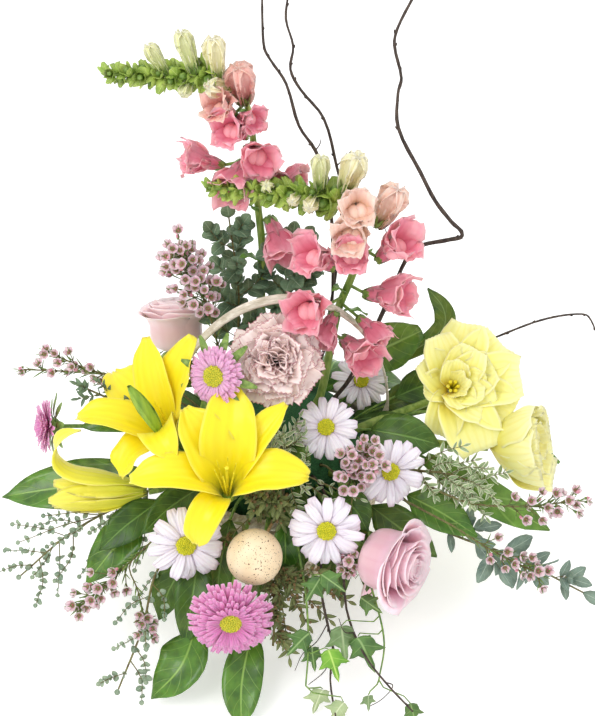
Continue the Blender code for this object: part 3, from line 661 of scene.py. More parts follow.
def addLilyHead(shape, head, petals, seed):
    rand = random.Random(seed)
    for index, (turn, length, width, angles) in enumerate(petals):
        narrow = index % 2 == 0  # the three outer tepals are narrower
        outline = (0.22, 0.46, 0.78, 0.97, 1.0, 0.92, 0.72, 0.22)
        addPetal(shape, head, turn, (4.0 if narrow else 3.0, -27), angles, length, width, outline,
                 cup=0.30, ruffle=0.6 if narrow else 1.8, waves=3.5, phase=rand.uniform(0, 6),
                 twist=rand.uniform(-10, 10), fold=0.10, cuts=(10, 22), thickness=0.8)
    for index in range(6):  # filaments with their pollen sacs taken off
        way = math.radians(60 * index + 20)
        top, root = head @ ringPoint(8, way, 16), head @ ringPoint(1.5, way, -26)
        addTube(shape, [root, root.lerp(top, 0.6) + Vector((0, 0, 1)) * mm, top], (0.9, 0.5), 4, 6)
    root, top = headPoint(head, 0, 0, -26), headPoint(head, 1, -2, 18)  # the pistil
    addTube(shape, [root, root.lerp(top, 0.5), top], (1.3, 0.9), 4, 6)
    addBall(shape, top, (2.0, 2.0, 1.5), 4)


def makeLilies():
    for name, plan in lilies.items():
        shape, head, route = startFlower(name, plan, 30, (3.0, 2.8))
        addBall(shape, route[-1], (4.6, 4.6, 5.5), 2, 2)
        addLilyHead(shape, head, plan["petals"], name)
        if name == "lilyLeft":
            addLilyBud(shape, route)
        finishPiece(shape, name, [thickStemGreen, lilyPetal, lilyGreen, lilyLeaf, lilyThread],
                    "lily_petal")


lilyBud = {"foot": (-84, -78, 172), "tip": (-103, -88, 228), "length": 62, "width": 12.5}


def addLilyBud(shape, route):
    start, _ = alongRoute(route, 0.75)
    foot = Vector(lilyBud["foot"]) * mm
    way = (Vector(lilyBud["tip"]) * mm - foot).normalized()
    addTube(shape, smoothRoute([start, foot], Vector((0, -1, 0.6)), way, 5), (1.8, 2.4), 0, 8)
    head = bladeMatrix(foot, way, (0, -1, 0)) @ Matrix.Rotation(math.radians(-90), 4, "X")
    for index in range(3):  # three closed tepals with a seam between them
        addPetal(shape, head, 120 * index, (1.0, 0), (16, 9, 3, -3, -8, -15), lilyBud["length"],
                 lilyBud["width"], (0.28, 0.66, 0.9, 1.0, 0.9, 0.64, 0.24), cup=0.58, fold=-0.10,
                 cuts=(6, 14), thickness=0.8, material=2)


# Half open and lying to the left. The last petal is the one that curls up.
sideLily = {"middle": (-106, -74, 112), "neck": (-98, -73, 111), "facing": (-0.98, -0.10, 0.06),
            "petals": [(0, 70, 26, (24, 14, 4, 0, 0)), (180, 72, 28, (26, 14, 4, 0, 2)),
                       (70, 70, 26, (24, 14, 4, 0, -2)), (-75, 74, 27, (26, 14, 4, -2, -2)),
                       (125, 68, 26, (24, 14, 2, 0, 0)), (-130, 70, 26, (26, 14, 2, 0, 0))],
            "curled": (10, 104, 24, (24, 14, 20, 96, 178))}


def makeSideLily():
    shape = startShape()
    head = facingMatrix(sideLily["middle"], sideLily["facing"])
    addTube(shape, stemRoute("lilySide", [sideLily["neck"]], Vector(sideLily["facing"])), (2.6, 2.8), 0, 10)
    outline = (0.22, 0.5, 0.82, 1.0, 1.0, 0.9, 0.66, 0.2)
    for turn, length, width, angles in sideLily["petals"]:
        addPetal(shape, head, turn, (2.5, -6), angles, length, width, outline, cup=0.32, ruffle=0.5,
                 fold=0.05, cuts=(8, 18), thickness=0.7, phase=turn)
    turn, length, width, angles = sideLily["curled"]
    addPetal(shape, head, turn, (6, -4), angles, length, width, outline, cup=0.25, ruffle=1.0, cuts=(8, 24),
             thickness=0.7)
    finishPiece(shape, "lilySide", [thickStemGreen, lilyOuter, lilyGreen], "lily_petal")


makeLilies()
makeSideLily()
print("lilies made")


# Daisies and asters.

daisies = {
    "daisyLeft": {"middle": (-67, -127, 109), "facing": (0.10, -0.90, 0.42), "size": 0.98,
                  "rays": 19},
    "daisyFront": {"middle": (35, -122, 119), "facing": (-0.08, -0.90, 0.42), "size": 0.94,
                   "rays": 18},
    "daisyMiddle": {"middle": (35, -57, 162), "facing": (-0.16, -0.60, 0.78), "size": 0.85,
                    "rays": 16},
    "daisyRight": {"middle": (83, -80, 138), "facing": (0.22, -0.86, 0.46), "size": 0.90,
                   "rays": 17},
    "daisyBack": {"middle": (65, 32, 131), "facing": (0.10, -0.60, 0.78), "size": 0.80,
                  "rays": 15},
}


def addDisc(shape, head, radius, dome, count, material, lift):
    # packed florets on a low dome, in the spiral that daisies grow
    addHeadBall(shape, head, (0, 0, lift), (radius, radius, dome), material, 2)
    for index in range(count):
        share = math.sqrt((index + 0.5) / count)
        height = lift + dome * math.sqrt(max(1 - share * share * 0.88, 0.0))
        place = ringPoint(radius * share * 0.94, goldenTurn * index, height)
        size = radius * 0.115 * (0.8 + 0.5 * share)
        addBall(shape, head @ place, (size, size, size * 1.3), material, 1, head.to_3x3().to_4x4())


def makeDaisies():
    for name, plan in daisies.items():
        rand = random.Random(name)
        size = plan["size"]
        shape, head, _ = startFlower(name, plan, 10, (1.6, 1.5), 8)
        addHeadBall(shape, head, (0, 0, -5), (6.5 * size, 6.5 * size, 4.5), 0, 2)
        rays = plan["rays"]
        for index in range(rays):
            droop = rand.uniform(-10, 24)
            addPetal(shape, head, 360 * index / rays + rand.uniform(-6, 6),
                     (5.0 * size, -2.2 - 1.1 * (index % 2)),
                     (64, 82 + droop * 0.3, 92 + droop, 102 + droop), rand.uniform(22, 25.5) * size,
                     rand.uniform(8.0, 10.4) * size, (0.40, 0.66, 0.88, 1.0, 0.98, 0.64),
                     cup=rand.uniform(-0.3, 0.35), ruffle=0.5, phase=rand.uniform(0, 6),
                     twist=rand.uniform(-26, 26), cuts=(4, 7))
        addDisc(shape, head, 7.6 * size, 3.6 * size, 90, 2, -1.5)
        finishPiece(shape, name, [stemGreen, daisyRay, discGold], "daisy_petal")


asters = {
    "asterFront": {"middle": (-34, -171, 77), "facing": (0.04, -0.98, 0.18), "radius": 30, "bract": 0.7,
                   "rows": ((46, 1.05, 4.0, 102), (44, 1.0, 3.8, 95), (42, 0.92, 3.6, 88),
                            (40, 0.81, 3.3, 80), (36, 0.66, 3.0, 68)), "disc": 9.4, "paint": 0},
    "asterMiddle": {"middle": (-46, -60, 214), "facing": (-0.40, -0.76, 0.50), "radius": 21.5, "bract": 1.3,
                    "rows": ((38, 1.0, 3.4, 94), (36, 0.92, 3.2, 84), (32, 0.76, 2.8, 72)), "disc": 8.0,
                    "paint": 1},
    "asterLeft": {"middle": (-178, -28, 136), "facing": (-0.92, -0.28, 0.24), "radius": 22, "bract": 1.0,
                  "rows": ((32, 1.0, 3.6, 84), (28, 0.86, 3.4, 66), (22, 0.66, 3.0, 46)), "disc": 5.0,
                  "paint": 0},
}


def makeAsters():
    for name, plan in asters.items():
        rand = random.Random(name)
        radius = plan["radius"]
        shape, head, _ = startFlower(name, plan, 12, (1.8, 1.6), 8)
        addHeadBall(shape, head, (0, 0, -5), (radius * 0.32, radius * 0.32, 6), 0, 2)
        for level, (count, reach, width, flat) in enumerate(plan["rows"]):
            for index in range(count):
                lean = flat + rand.uniform(-7, 7)
                length = (radius * reach - plan["disc"] * 0.7) * rand.uniform(0.92, 1.06)
                addPetal(shape, head, 360 * (index + 0.5 * level) / count + rand.uniform(-3, 3),
                         (plan["disc"] * 0.72, -3.5 + 1.2 * level), (lean - 34, lean - 8, lean, lean + 8),
                         length, width, (0.5, 0.8, 0.95, 1.0, 1.0, 0.62), cup=0.35, ruffle=0.2,
                         phase=rand.uniform(0, 6), twist=rand.uniform(-14, 14), cuts=(2, 5), thickness=0.3,
                         material=1 + plan["paint"])
        addDisc(shape, head, plan["disc"], plan["disc"] * 0.42, 90, 3, -0.5)
        for index in range(9):  # spoon-shaped green bracts behind the rays
            addPetal(shape, head, 40 * index + rand.uniform(-9, 9), (4.5, -7), (60, 92, 102, 92),
                     radius * plan["bract"], 6.5, (0.3, 0.45, 0.8, 1.0, 0.8, 0.3), cup=0.2, cuts=(2, 5),
                     thickness=0.3, material=4)
        finishPiece(shape, name, [stemGreen, asterRay, paleAsterRay, discGreenGold, calyxGreen],
                    "aster_petal")


makeDaisies()
makeAsters()
print("daisies and asters made")


# Carnation, roses and double tulips.

carnation = {"middle": (-2, -42, 214), "facing": (0.0, -0.72, 0.69)}


def makeCarnation():
    rand = random.Random("carnation")
    shape, head, _ = startFlower("carnation", carnation, 44, (2.6, 2.6))
    low, high = headPoint(head, 0, 0, -45), headPoint(head, 0, 0, -21)
    addTube(shape, [low, low.lerp(high, 0.2), low.lerp(high, 0.7), high], (4.2, 5.8, 6.8, 8.6), 2, 20)
    rings = ((9, 40, 96), (9, 39, 82), (9, 37, 66), (9, 34, 50), (9, 31, 36), (8, 29, 22), (7, 27, 12),
             (4, 26, 3))
    for level, (count, length, lean) in enumerate(rings):
        inner = level / (len(rings) - 1)
        for index in range(count):
            bend = lean + rand.uniform(-12, 12)
            addPetal(shape, head, 360 * (index + 0.5 * (level % 2)) / count + rand.uniform(-14, 14),
                     (2.0, -22 + level), (bend * 0.15, bend * 0.6, bend, bend + rand.uniform(-10, 26)),
                     length * rand.uniform(0.88, 1.0), rand.uniform(28, 35) - 8 * inner,
                     (0.10, 0.16, 0.36, 0.80, 1.0, 0.98), cup=rand.uniform(-0.2, 0.3) + 0.3 * inner,
                     ruffle=rand.uniform(3.4, 5.6), waves=rand.uniform(1.5, 2.3), phase=rand.uniform(0, 6),
                     twist=rand.uniform(-40, 40) * inner, cuts=(18, 12), notch=1.1)
    finishPiece(shape, "ruffledCarnation", [thickStemGreen, carnationPetal, calyxGreen], "carnation_petal",
                "carnation")


roses = {
    "roseFront": {"middle": (98, -138, 97), "facing": (0.82, -0.54, 0.20), "radius": 37,
                  "paint": rosePetal, "open": 0.95, "dropped": True},
    "roseBack": {"middle": (-84, 60, 190), "facing": (-0.05, 0.45, 0.89), "radius": 33,
                 "paint": paleRosePetal, "open": 0.8, "dropped": False},
}


def makeRoses():
    for name, plan in roses.items():
        rand = random.Random(name)
        shape, head, _ = startFlower(name, plan, 44, (2.8, 3.0))
        addHeadBall(shape, head, (0, 0, -42), (6, 6, 6), 0, 2)
        radius = plan["radius"]
        count = 20
        for index in range(count):
            share = index / (count - 1)  # 0 at the tight heart, 1 at the outer guard petals
            foot = 1.5 + 3 * share
            girth = radius * (0.09 + 0.60 * share ** 0.9)
            swell = math.degrees(math.asin(min(max((girth - foot) / 17, 0), 0.95)))
            lip = 4 + 74 * share ** 1.4 * plan["open"]
            addPetal(shape, head, goldenDegrees * index + rand.uniform(-8, 8),
                     (foot, -40 + 2 * (1 - share)),
                     (swell * 1.1, swell, swell * 0.3, 0, lip * 0.6, lip * 1.25),
                     (39 + 9 * share) * radius / 34, girth * (3.7 - 1.1 * share),
                     (0.35, 0.8, 1.0, 1.0, 1.0, 0.86), cup=0.1, ruffle=0.3 + 1.2 * share, waves=1.1,
                     phase=rand.uniform(0, 6), cuts=(12, 14), thickness=0.5, wrap=2.4)
        if plan["dropped"]:  # one guard petal hangs away from the flower
            addPetal(shape, head, 170, (4, -40), (60, 110, 104, 84), 46, 26, (0.4, 0.8, 1.0, 0.9, 0.7, 0.3),
                     cup=0.4, cuts=(8, 12), thickness=0.5)
        for index in range(5):  # sepals under the flower
            addPetal(shape, head, 72 * index + 20, (3, -41), (70, 110, 130, 120), 24, 7,
                     (0.8, 1.0, 0.7, 0.35, 0.06), cuts=(2, 6), thickness=0.4, material=2)
        finishPiece(shape, name, [thickStemGreen, plan["paint"], calyxGreen], "rose_petal")


tulips = {  # each petal: turn round the flower, length, width, and how far it leans from root to tip
    "tulipNear": {
        "middle": (134, -10, 164), "facing": (0.0, -0.62, 0.78), "scale": 0.87,
        "petals": [(18, 60, 34, (14, 44, 66, 66)), (-14, 66, 44, (24, 60, 82, 88)),
                   (-46, 66, 46, (24, 62, 84, 96)), (-82, 68, 48, (24, 62, 86, 98)),
                   (-116, 64, 46, (24, 62, 88, 104)), (-158, 70, 50, (24, 60, 92, 108)),
                   (164, 52, 34, (20, 56, 88, 118)), (46, 44, 38, (16, 46, 66, 74)),
                   (88, 34, 30, (16, 44, 60, 70)), (-64, 48, 42, (14, 48, 70, 78)),
                   (-30, 48, 36, (14, 44, 64, 70)), (-130, 46, 40, (14, 46, 74, 96)),
                   (-96, 40, 34, (10, 34, 56, 66)), (-10, 36, 26, (8, 28, 44, 50)),
                   (-150, 34, 28, (8, 30, 52, 74)), (-52, 30, 22, (4, 18, 30, 34)),
                   (-118, 28, 20, (4, 18, 34, 44))]},
    "tulipFar": {
        "middle": (196, -30, 120), "facing": (0.93, -0.20, 0.30), "scale": 0.93,
        "petals": [(0, 58, 46, (64, 50, 24, 10)), (60, 56, 44, (64, 50, 26, 14)),
                   (120, 58, 46, (64, 50, 24, 8)), (180, 62, 48, (66, 54, 30, 24)),
                   (240, 57, 46, (64, 50, 24, 12)), (300, 56, 44, (64, 48, 22, 6)),
                   (30, 50, 40, (56, 40, 14, 0)), (102, 52, 40, (56, 42, 16, 6)),
                   (174, 52, 42, (56, 42, 18, 12)), (246, 50, 40, (56, 40, 14, 4)),
                   (318, 50, 40, (56, 40, 14, 0)), (66, 42, 32, (40, 26, 8, 4)),
                   (186, 42, 32, (40, 26, 8, 0)), (306, 42, 32, (40, 26, 8, 4))]},
}


def makeTulips():
    for name, plan in tulips.items():
        rand = random.Random(name)
        scale = plan["scale"]
        shape, head, _ = startFlower(name, plan, 36, (3.4, 3.2))
        for level, (turn, length, width, angles) in enumerate(plan["petals"]):
            addPetal(shape, head, turn, (2.0, -34 + 0.5 * level), angles, length * scale, width * scale,
                     (0.22, 0.6, 0.92, 1.0, 0.98, 0.7), cup=rand.uniform(0.25, 0.5),
                     ruffle=rand.uniform(2.0, 3.6), waves=rand.uniform(1.4, 2.1), phase=rand.uniform(0, 6),
                     twist=rand.uniform(-12, 12), cuts=(14, 14), thickness=0.6, fold=0.04, notch=0.5)
        for index in range(6):  # stamens deep in the middle
            root, tip = headPoint(head, 0, 0, -30), head @ ringPoint(4, index * math.pi / 3, -12)
            addTube(shape, [root, root.lerp(tip, 0.5), tip], (0.8, 1.4), 2, 6)
        finishPiece(shape, name, [thickStemGreen, tulipPetal, lilyThread], "tulip_petal")


makeCarnation()
makeRoses()
makeTulips()
print("carnation, roses and tulips made")


# Snapdragons.

# Each open blossom: its middle, the way it opens, its size and its tint. Each closed one: its foot, its
# tip, its size and its tint. The tints are 1 pink, 2 peach, 3 cream, 4 green-tipped cream and 5 salmon.
snapdragons = {
    "snapdragonRight": {
        "radius": 3.2, "buds": 34, "budsFrom": 0.70,
        "path": [(32, 4, 140), (39, 13, 178), (45, 21, 212), (54, 22, 240), (61, 23, 268),
                 (57, 25, 292), (40, 27, 306), (10, 27, 312), (-20, 24, 317), (-51, 20, 322)],
        "blossoms": [((55, -6, 198), (0.4, -0.7, 0.2), 1.4, 1),
                     ((26, -10, 236), (-0.3, -0.6, 0.5), 1.45, 1),
                     ((33, 6, 268), (-0.5, -0.4, 0.7), 1.35, 1), ((75, 8, 236), (0.7, -0.5, 0.4), 1.4, 1),
                     ((80, 10, 274), (0.5, -0.3, 0.8), 1.35, 1), ((54, 4, 272), (-0.1, -0.6, 0.7), 1.2, 1),
                     ((55, 8, 290), (-0.2, -0.7, 0.5), 1.25, 2), ((56, 10, 308), (0.0, -0.6, 0.7), 1.2, 2),
                     ((38, -4, 218), (-0.4, -0.8, -0.2), 1.1, 1),
                     ((66, -2, 214), (0.6, -0.7, -0.2), 1.0, 1)],
        "closed": [((72, 16, 294), (85, 12, 326), 1.35, 2), ((48, 24, 318), (56, 16, 350), 1.2, 3),
                   ((30, 26, 318), (30, 22, 346), 0.85, 4), ((26, 22, 312), (22, 6, 314), 0.7, 3),
                   ((14, 22, 314), (10, 8, 318), 0.55, 3), ((-6, 24, 318), (-8, 14, 328), 0.6, 4)]},
    "snapdragonLeft": {
        "radius": 3.0, "buds": 34, "budsFrom": 0.76,
        "path": [(-14, 58, 182), (-13, 60, 239), (-16, 62, 283), (-19, 66, 341), (-25, 66, 370),
                 (-39, 64, 386), (-76, 60, 389), (-121, 52, 395)],
        "blossoms": [((-3, 48, 264), (0.3, -0.8, -0.3), 1.35, 1), ((4, 54, 306), (0.8, -0.4, 0.5), 0.9, 1),
                     ((-50, 54, 322), (-0.8, -0.3, 0.5), 1.15, 1),
                     ((-29, 46, 318), (-0.2, -0.9, 0.0), 1.4, 1),
                     ((-18, 48, 334), (0.3, -0.8, 0.3), 1.3, 1),
                     ((-28, 50, 350), (-0.4, -0.6, 0.6), 1.2, 1),
                     ((-13, 52, 314), (0.5, -0.8, 0.1), 1.1, 1),
                     ((-36, 52, 366), (-0.4, -0.5, 0.7), 1.05, 5),
                     ((-24, 52, 360), (0.5, -0.6, 0.4), 0.9, 1)],
        "closed": [((-24, 62, 368), (-27, 54, 399), 1.35, 5), ((-42, 60, 386), (-44, 56, 420), 1.0, 3),
                   ((-58, 60, 390), (-66, 58, 424), 0.85, 4), ((-78, 60, 390), (-89, 58, 414), 0.7, 4),
                   ((-34, 60, 380), (-48, 46, 388), 0.9, 3), ((-62, 58, 386), (-66, 46, 382), 0.6, 4)]},
}


blossomReach = 9  # from a blossom's foot to its middle


def blossomTemplate(seed):
    # a plump tube, two frilled upper lobes standing up and three lower ones folded down over the throat
    rand = random.Random(seed)
    shape = startShape()
    for index in range(5):
        addPetal(shape, Matrix(), 72 * index, (2.0, 0), (36, 12, -6, 2), 16, 9, (0.6, 1.0, 1.1, 1.0),
                 cup=0.6, cuts=(4, 5), thickness=0.4)
    lobes = ((-28, 20, 21, 16), (28, 20, 21, 12), (118, 14, 18, 40), (180, 16, 20, 52), (242, 14, 18, 40))
    for turn, length, width, lean in lobes:
        addPetal(shape, Matrix(), turn + rand.uniform(-8, 8), (3.6, 11), (6, lean * 0.6, lean, lean + 30),
                 length, width, (0.6, 0.9, 1.0, 0.98, 0.8), cup=rand.uniform(0.1, 0.6), ruffle=3.0,
                 waves=1.7, phase=rand.uniform(0, 6), cuts=(8, 8), thickness=0.4, notch=0.8)
    for side in (-2.4, 2.4):  # the closed palate, in two swellings
        addBall(shape, Vector((side, -1.6, 14.0)) * mm, (4.6, 5.6, 5.0), 1, 2)
    for index in range(5):
        addPetal(shape, Matrix(), 72 * index + 36, (1.5, -1.5), (44, 14, 6), 9, 5, (0.9, 0.9, 0.1),
                 cuts=(2, 3), thickness=0.4, material=2)
    return keepTemplate(shape, "blossom")


closedLength = 27


def closedTemplate():
    # a blossom still folded: a bent club of wrapped lobes in a green calyx, nearly closedLength long
    shape = startShape()
    for index in range(5):
        addPetal(shape, Matrix(), 72 * index, (1.6, 0), (16, 6, 2, 12, -20, -60), 29, 10,
                 (0.7, 0.95, 1.0, 1.15, 1.25, 0.8), cup=-0.35, ruffle=0.8, phase=index, cuts=(4, 8),
                 thickness=0.5)
    addBall(shape, Vector((0, 0, 13)) * mm, (3.4, 3.4, 11), 1, 2)
    for index in range(5):
        addPetal(shape, Matrix(), 72 * index + 36, (1.5, -2), (50, 18, 6, 30), 12, 6.5,
                 (0.8, 1.0, 0.8, 0.1), cuts=(2, 4), thickness=0.4, material=2)
    return keepTemplate(shape, "closedBlossom")


def budTemplate():
    # a green bud hidden in pointed scales
    shape = startShape()
    addBall(shape, Vector((0, 0, 4.5)) * mm, (3.0, 3.0, 4.8), 2, 1)
    for index in range(4):
        addPetal(shape, Matrix(), 90 * index, (1.2, -1), (60, 26, 8, 20), 13, 8.0, (0.7, 1.0, 0.95, 0.4),
                 cup=0.35, cuts=(2, 4), thickness=0.5, material=3)
    return keepTemplate(shape, "bud")


# Narrow leaves on the stem: how far up each one is, and the side it leaves from.
stemLeaves = ((0.24, (-0.8, -0.5, 0.4)), (0.30, (0.8, -0.6, 0.2)), (0.36, (-0.6, -0.7, 0.5)),
              (0.42, (0.5, 0.8, 0.3)), (0.50, (-0.4, 0.8, 0.4)))


def makeSnapdragons():
    blossoms = [blossomTemplate(seed) for seed in range(3)]
    closed, bud = closedTemplate(), budTemplate()
    paints = [thickStemGreen, snapPink, calyxGreen, snapScale, snapPeach, snapCream, snapGreenTip,
              snapSalmon]
    tints = {1: {}, 2: {1: 4}, 3: {1: 5}, 4: {1: 6}, 5: {1: 7}}
    for name, plan in snapdragons.items():
        rand = random.Random(name)
        shape = startShape()
        route = stemRoute(name, plan["path"], steps=5)
        count = len(route)
        radii = [plan["radius"] * min(1.0, 1.25 - 0.85 * index / count) for index in range(count)]
        addTube(shape, route, radii, 0, 10)
        for index, (middle, way, size, paint) in enumerate(plan["blossoms"]):
            way = Vector(way).normalized()
            base = Vector(middle) - way * blossomReach * size
            near = nearestPoint(route, base * mm)
            addTube(shape, [near, near.lerp(base * mm, 0.5), base * mm], (1.3, 1.2), 2, 6)
            stampShape(shape, repaintTemplate(blossoms[index % 3], tints[paint]),
                       facingMatrix(base, way, rand.uniform(-25, 25)) @ Matrix.Scale(size, 4))
        for foot, tip, size, paint in plan["closed"]:
            near = nearestPoint(route, Vector(foot) * mm)
            way = Vector(tip) - Vector(foot)
            addTube(shape, [near, Vector(foot) * mm], (1.4, 1.4), 2, 6)
            place = facingMatrix(foot, way, rand.uniform(0, 90))
            stampShape(shape, repaintTemplate(closed, tints[paint]),
                       place @ Matrix.Diagonal((size, size, way.length / closedLength, 1)))
        buds = plan["buds"]
        for index in range(buds):
            share = plan["budsFrom"] + (0.995 - plan["budsFrom"]) * index / (buds - 1)
            point, way = alongRoute(route, share)
            out = turnOut(way, goldenTurn * index)
            size = (1.25 - 0.65 * index / buds) * rand.uniform(0.8, 1.15)
            place = facingMatrix((point + out * 1.6 * mm) / mm, out + way * rand.uniform(0.2, 1.1))
            stampShape(shape, bud, place @ Matrix.Scale(size, 4))
        for share, side in stemLeaves:
            point, way = alongRoute(route, share)
            out = (Vector(side) + way * 0.6).normalized()
            line = smoothRoute([point, point + out * 16 * mm,
                                point + (out + Vector((0, 0, -0.3))) * 32 * mm],
                               out, out - Vector((0, 0, 0.8)), 5)
            addBlade(shape, line, way, 8, (0.3, 0.8, 1.0, 0.8, 0.5, 0.05), 8, across=2)
        finishPiece(shape, name, paints + [lilyLeaf], "snapdragon_petal")


makeSnapdragons()
print("snapdragons made")


# Curly willow.

# Each twig: its thickest radius and its points.
twigs = {
    "willowBackLeft": (1.3, [(40, 62, 160), (38, 62, 292), (27, 60, 328), (15, 58, 350), (6, 60, 383),
                             (-5, 60, 402), (-9, 60, 411), (-10, 60, 431), (-10, 62, 450)]),
    "willowBackRight": (1.3, [(40, 84, 160), (48, 74, 278), (43, 70, 308), (33, 68, 350), (16, 68, 374),
                              (9, 68, 390), (11, 68, 408), (6, 68, 429), (8, 70, 449)]),
    "willowTall": (1.7, [(56, 14, 150), (80, 34, 199), (98, 42, 248), (107, 42, 256), (128, 41, 262),
                         (137, 41, 266), (128, 41, 278), (115, 42, 296), (103, 43, 320), (86, 52, 352),
                         (85, 57, 377), (87, 59, 388), (81, 59, 414), (83, 64, 424), (93, 67, 446)]),
    "willowRight": (1.0, [(98, 36, 112), (132, 46, 142), (172, 44, 166), (199, 42, 182), (218, 40, 190),
                          (234, 36, 195), (239, 34, 194), (246, 30, 182)]),
    "willowFrontLeft": (1.1, [(30, -106, 90), (32, -140, 70), (36, -156, 57), (40, -168, 44),
                              (38, -184, 27), (42, -204, 9)]),
    "willowFrontRight": (1.1, [(46, -104, 89), (50, -148, 64), (62, -174, 46), (78, -190, 32),
                               (98, -204, 16)]),
}
tendrils = {  # thin side twigs: their points, starting on the parent
    "willowFrontLeft": [[(36, -156, 57), (28, -164, 46), (18, -170, 40), (12, -178, 30)],
                        [(40, -170, 42), (34, -178, 30), (22, -186, 24)]],
    "willowFrontRight": [[(78, -190, 32), (84, -186, 22), (76, -190, 12), (66, -194, 8)],
                         [(56, -162, 54), (48, -166, 60), (44, -160, 68)]],
    "willowTall": [[(98, 42, 248), (90, 38, 262), (82, 36, 268), (78, 34, 278)],
                   [(80, 34, 199), (90, 30, 206), (102, 30, 205)]],
    "willowRight": [[(172, 44, 166), (164, 40, 160), (156, 38, 148)]],
    "willowBackLeft": [[(27, 60, 328), (30, 58, 334), (31, 56, 340)]],
    "willowBackRight": [[(43, 70, 308), (48, 68, 316), (50, 66, 322)]],
}


def makeTwigs():
    for name, (radius, path) in twigs.items():
        rand = random.Random(name)
        shape = startShape()
        route = stemRoute(name, path, steps=4)
        count = len(route)
        radii = [radius * (1.1 - 0.5 * index / count) * rand.uniform(0.88, 1.14) for index in range(count)]
        addTube(shape, route, radii)
        for line in tendrils.get(name, []):
            points = [Vector(point) * mm for point in line]
            side = smoothRoute(points, points[1] - points[0], points[-1] - points[-2], 4)
            addTube(shape, side, (radius * 0.45, 0.28), 0, 6)
        for index in range(8, count - 1, 3):  # leaf buds at the knots
            way = (route[index + 1] - route[index]).normalized()
            out = turnOut(way, rand.uniform(0, 6))
            addBall(shape, route[index] + out * radii[index] * mm, (0.7, 0.7, 1.9), 0, 1,
                    facingMatrix((0, 0, 0), way + out * 0.4))
        finishPiece(shape, name, [barkBrown], "willow_bark")


makeTwigs()
print("twigs made")


# Broad leaves.

ovate = (0.10, 0.70, 0.96, 1.0, 0.90, 0.70, 0.40, 0.03)
strap = (0.35, 0.72, 0.92, 1.0, 0.97, 0.84, 0.56, 0.05)
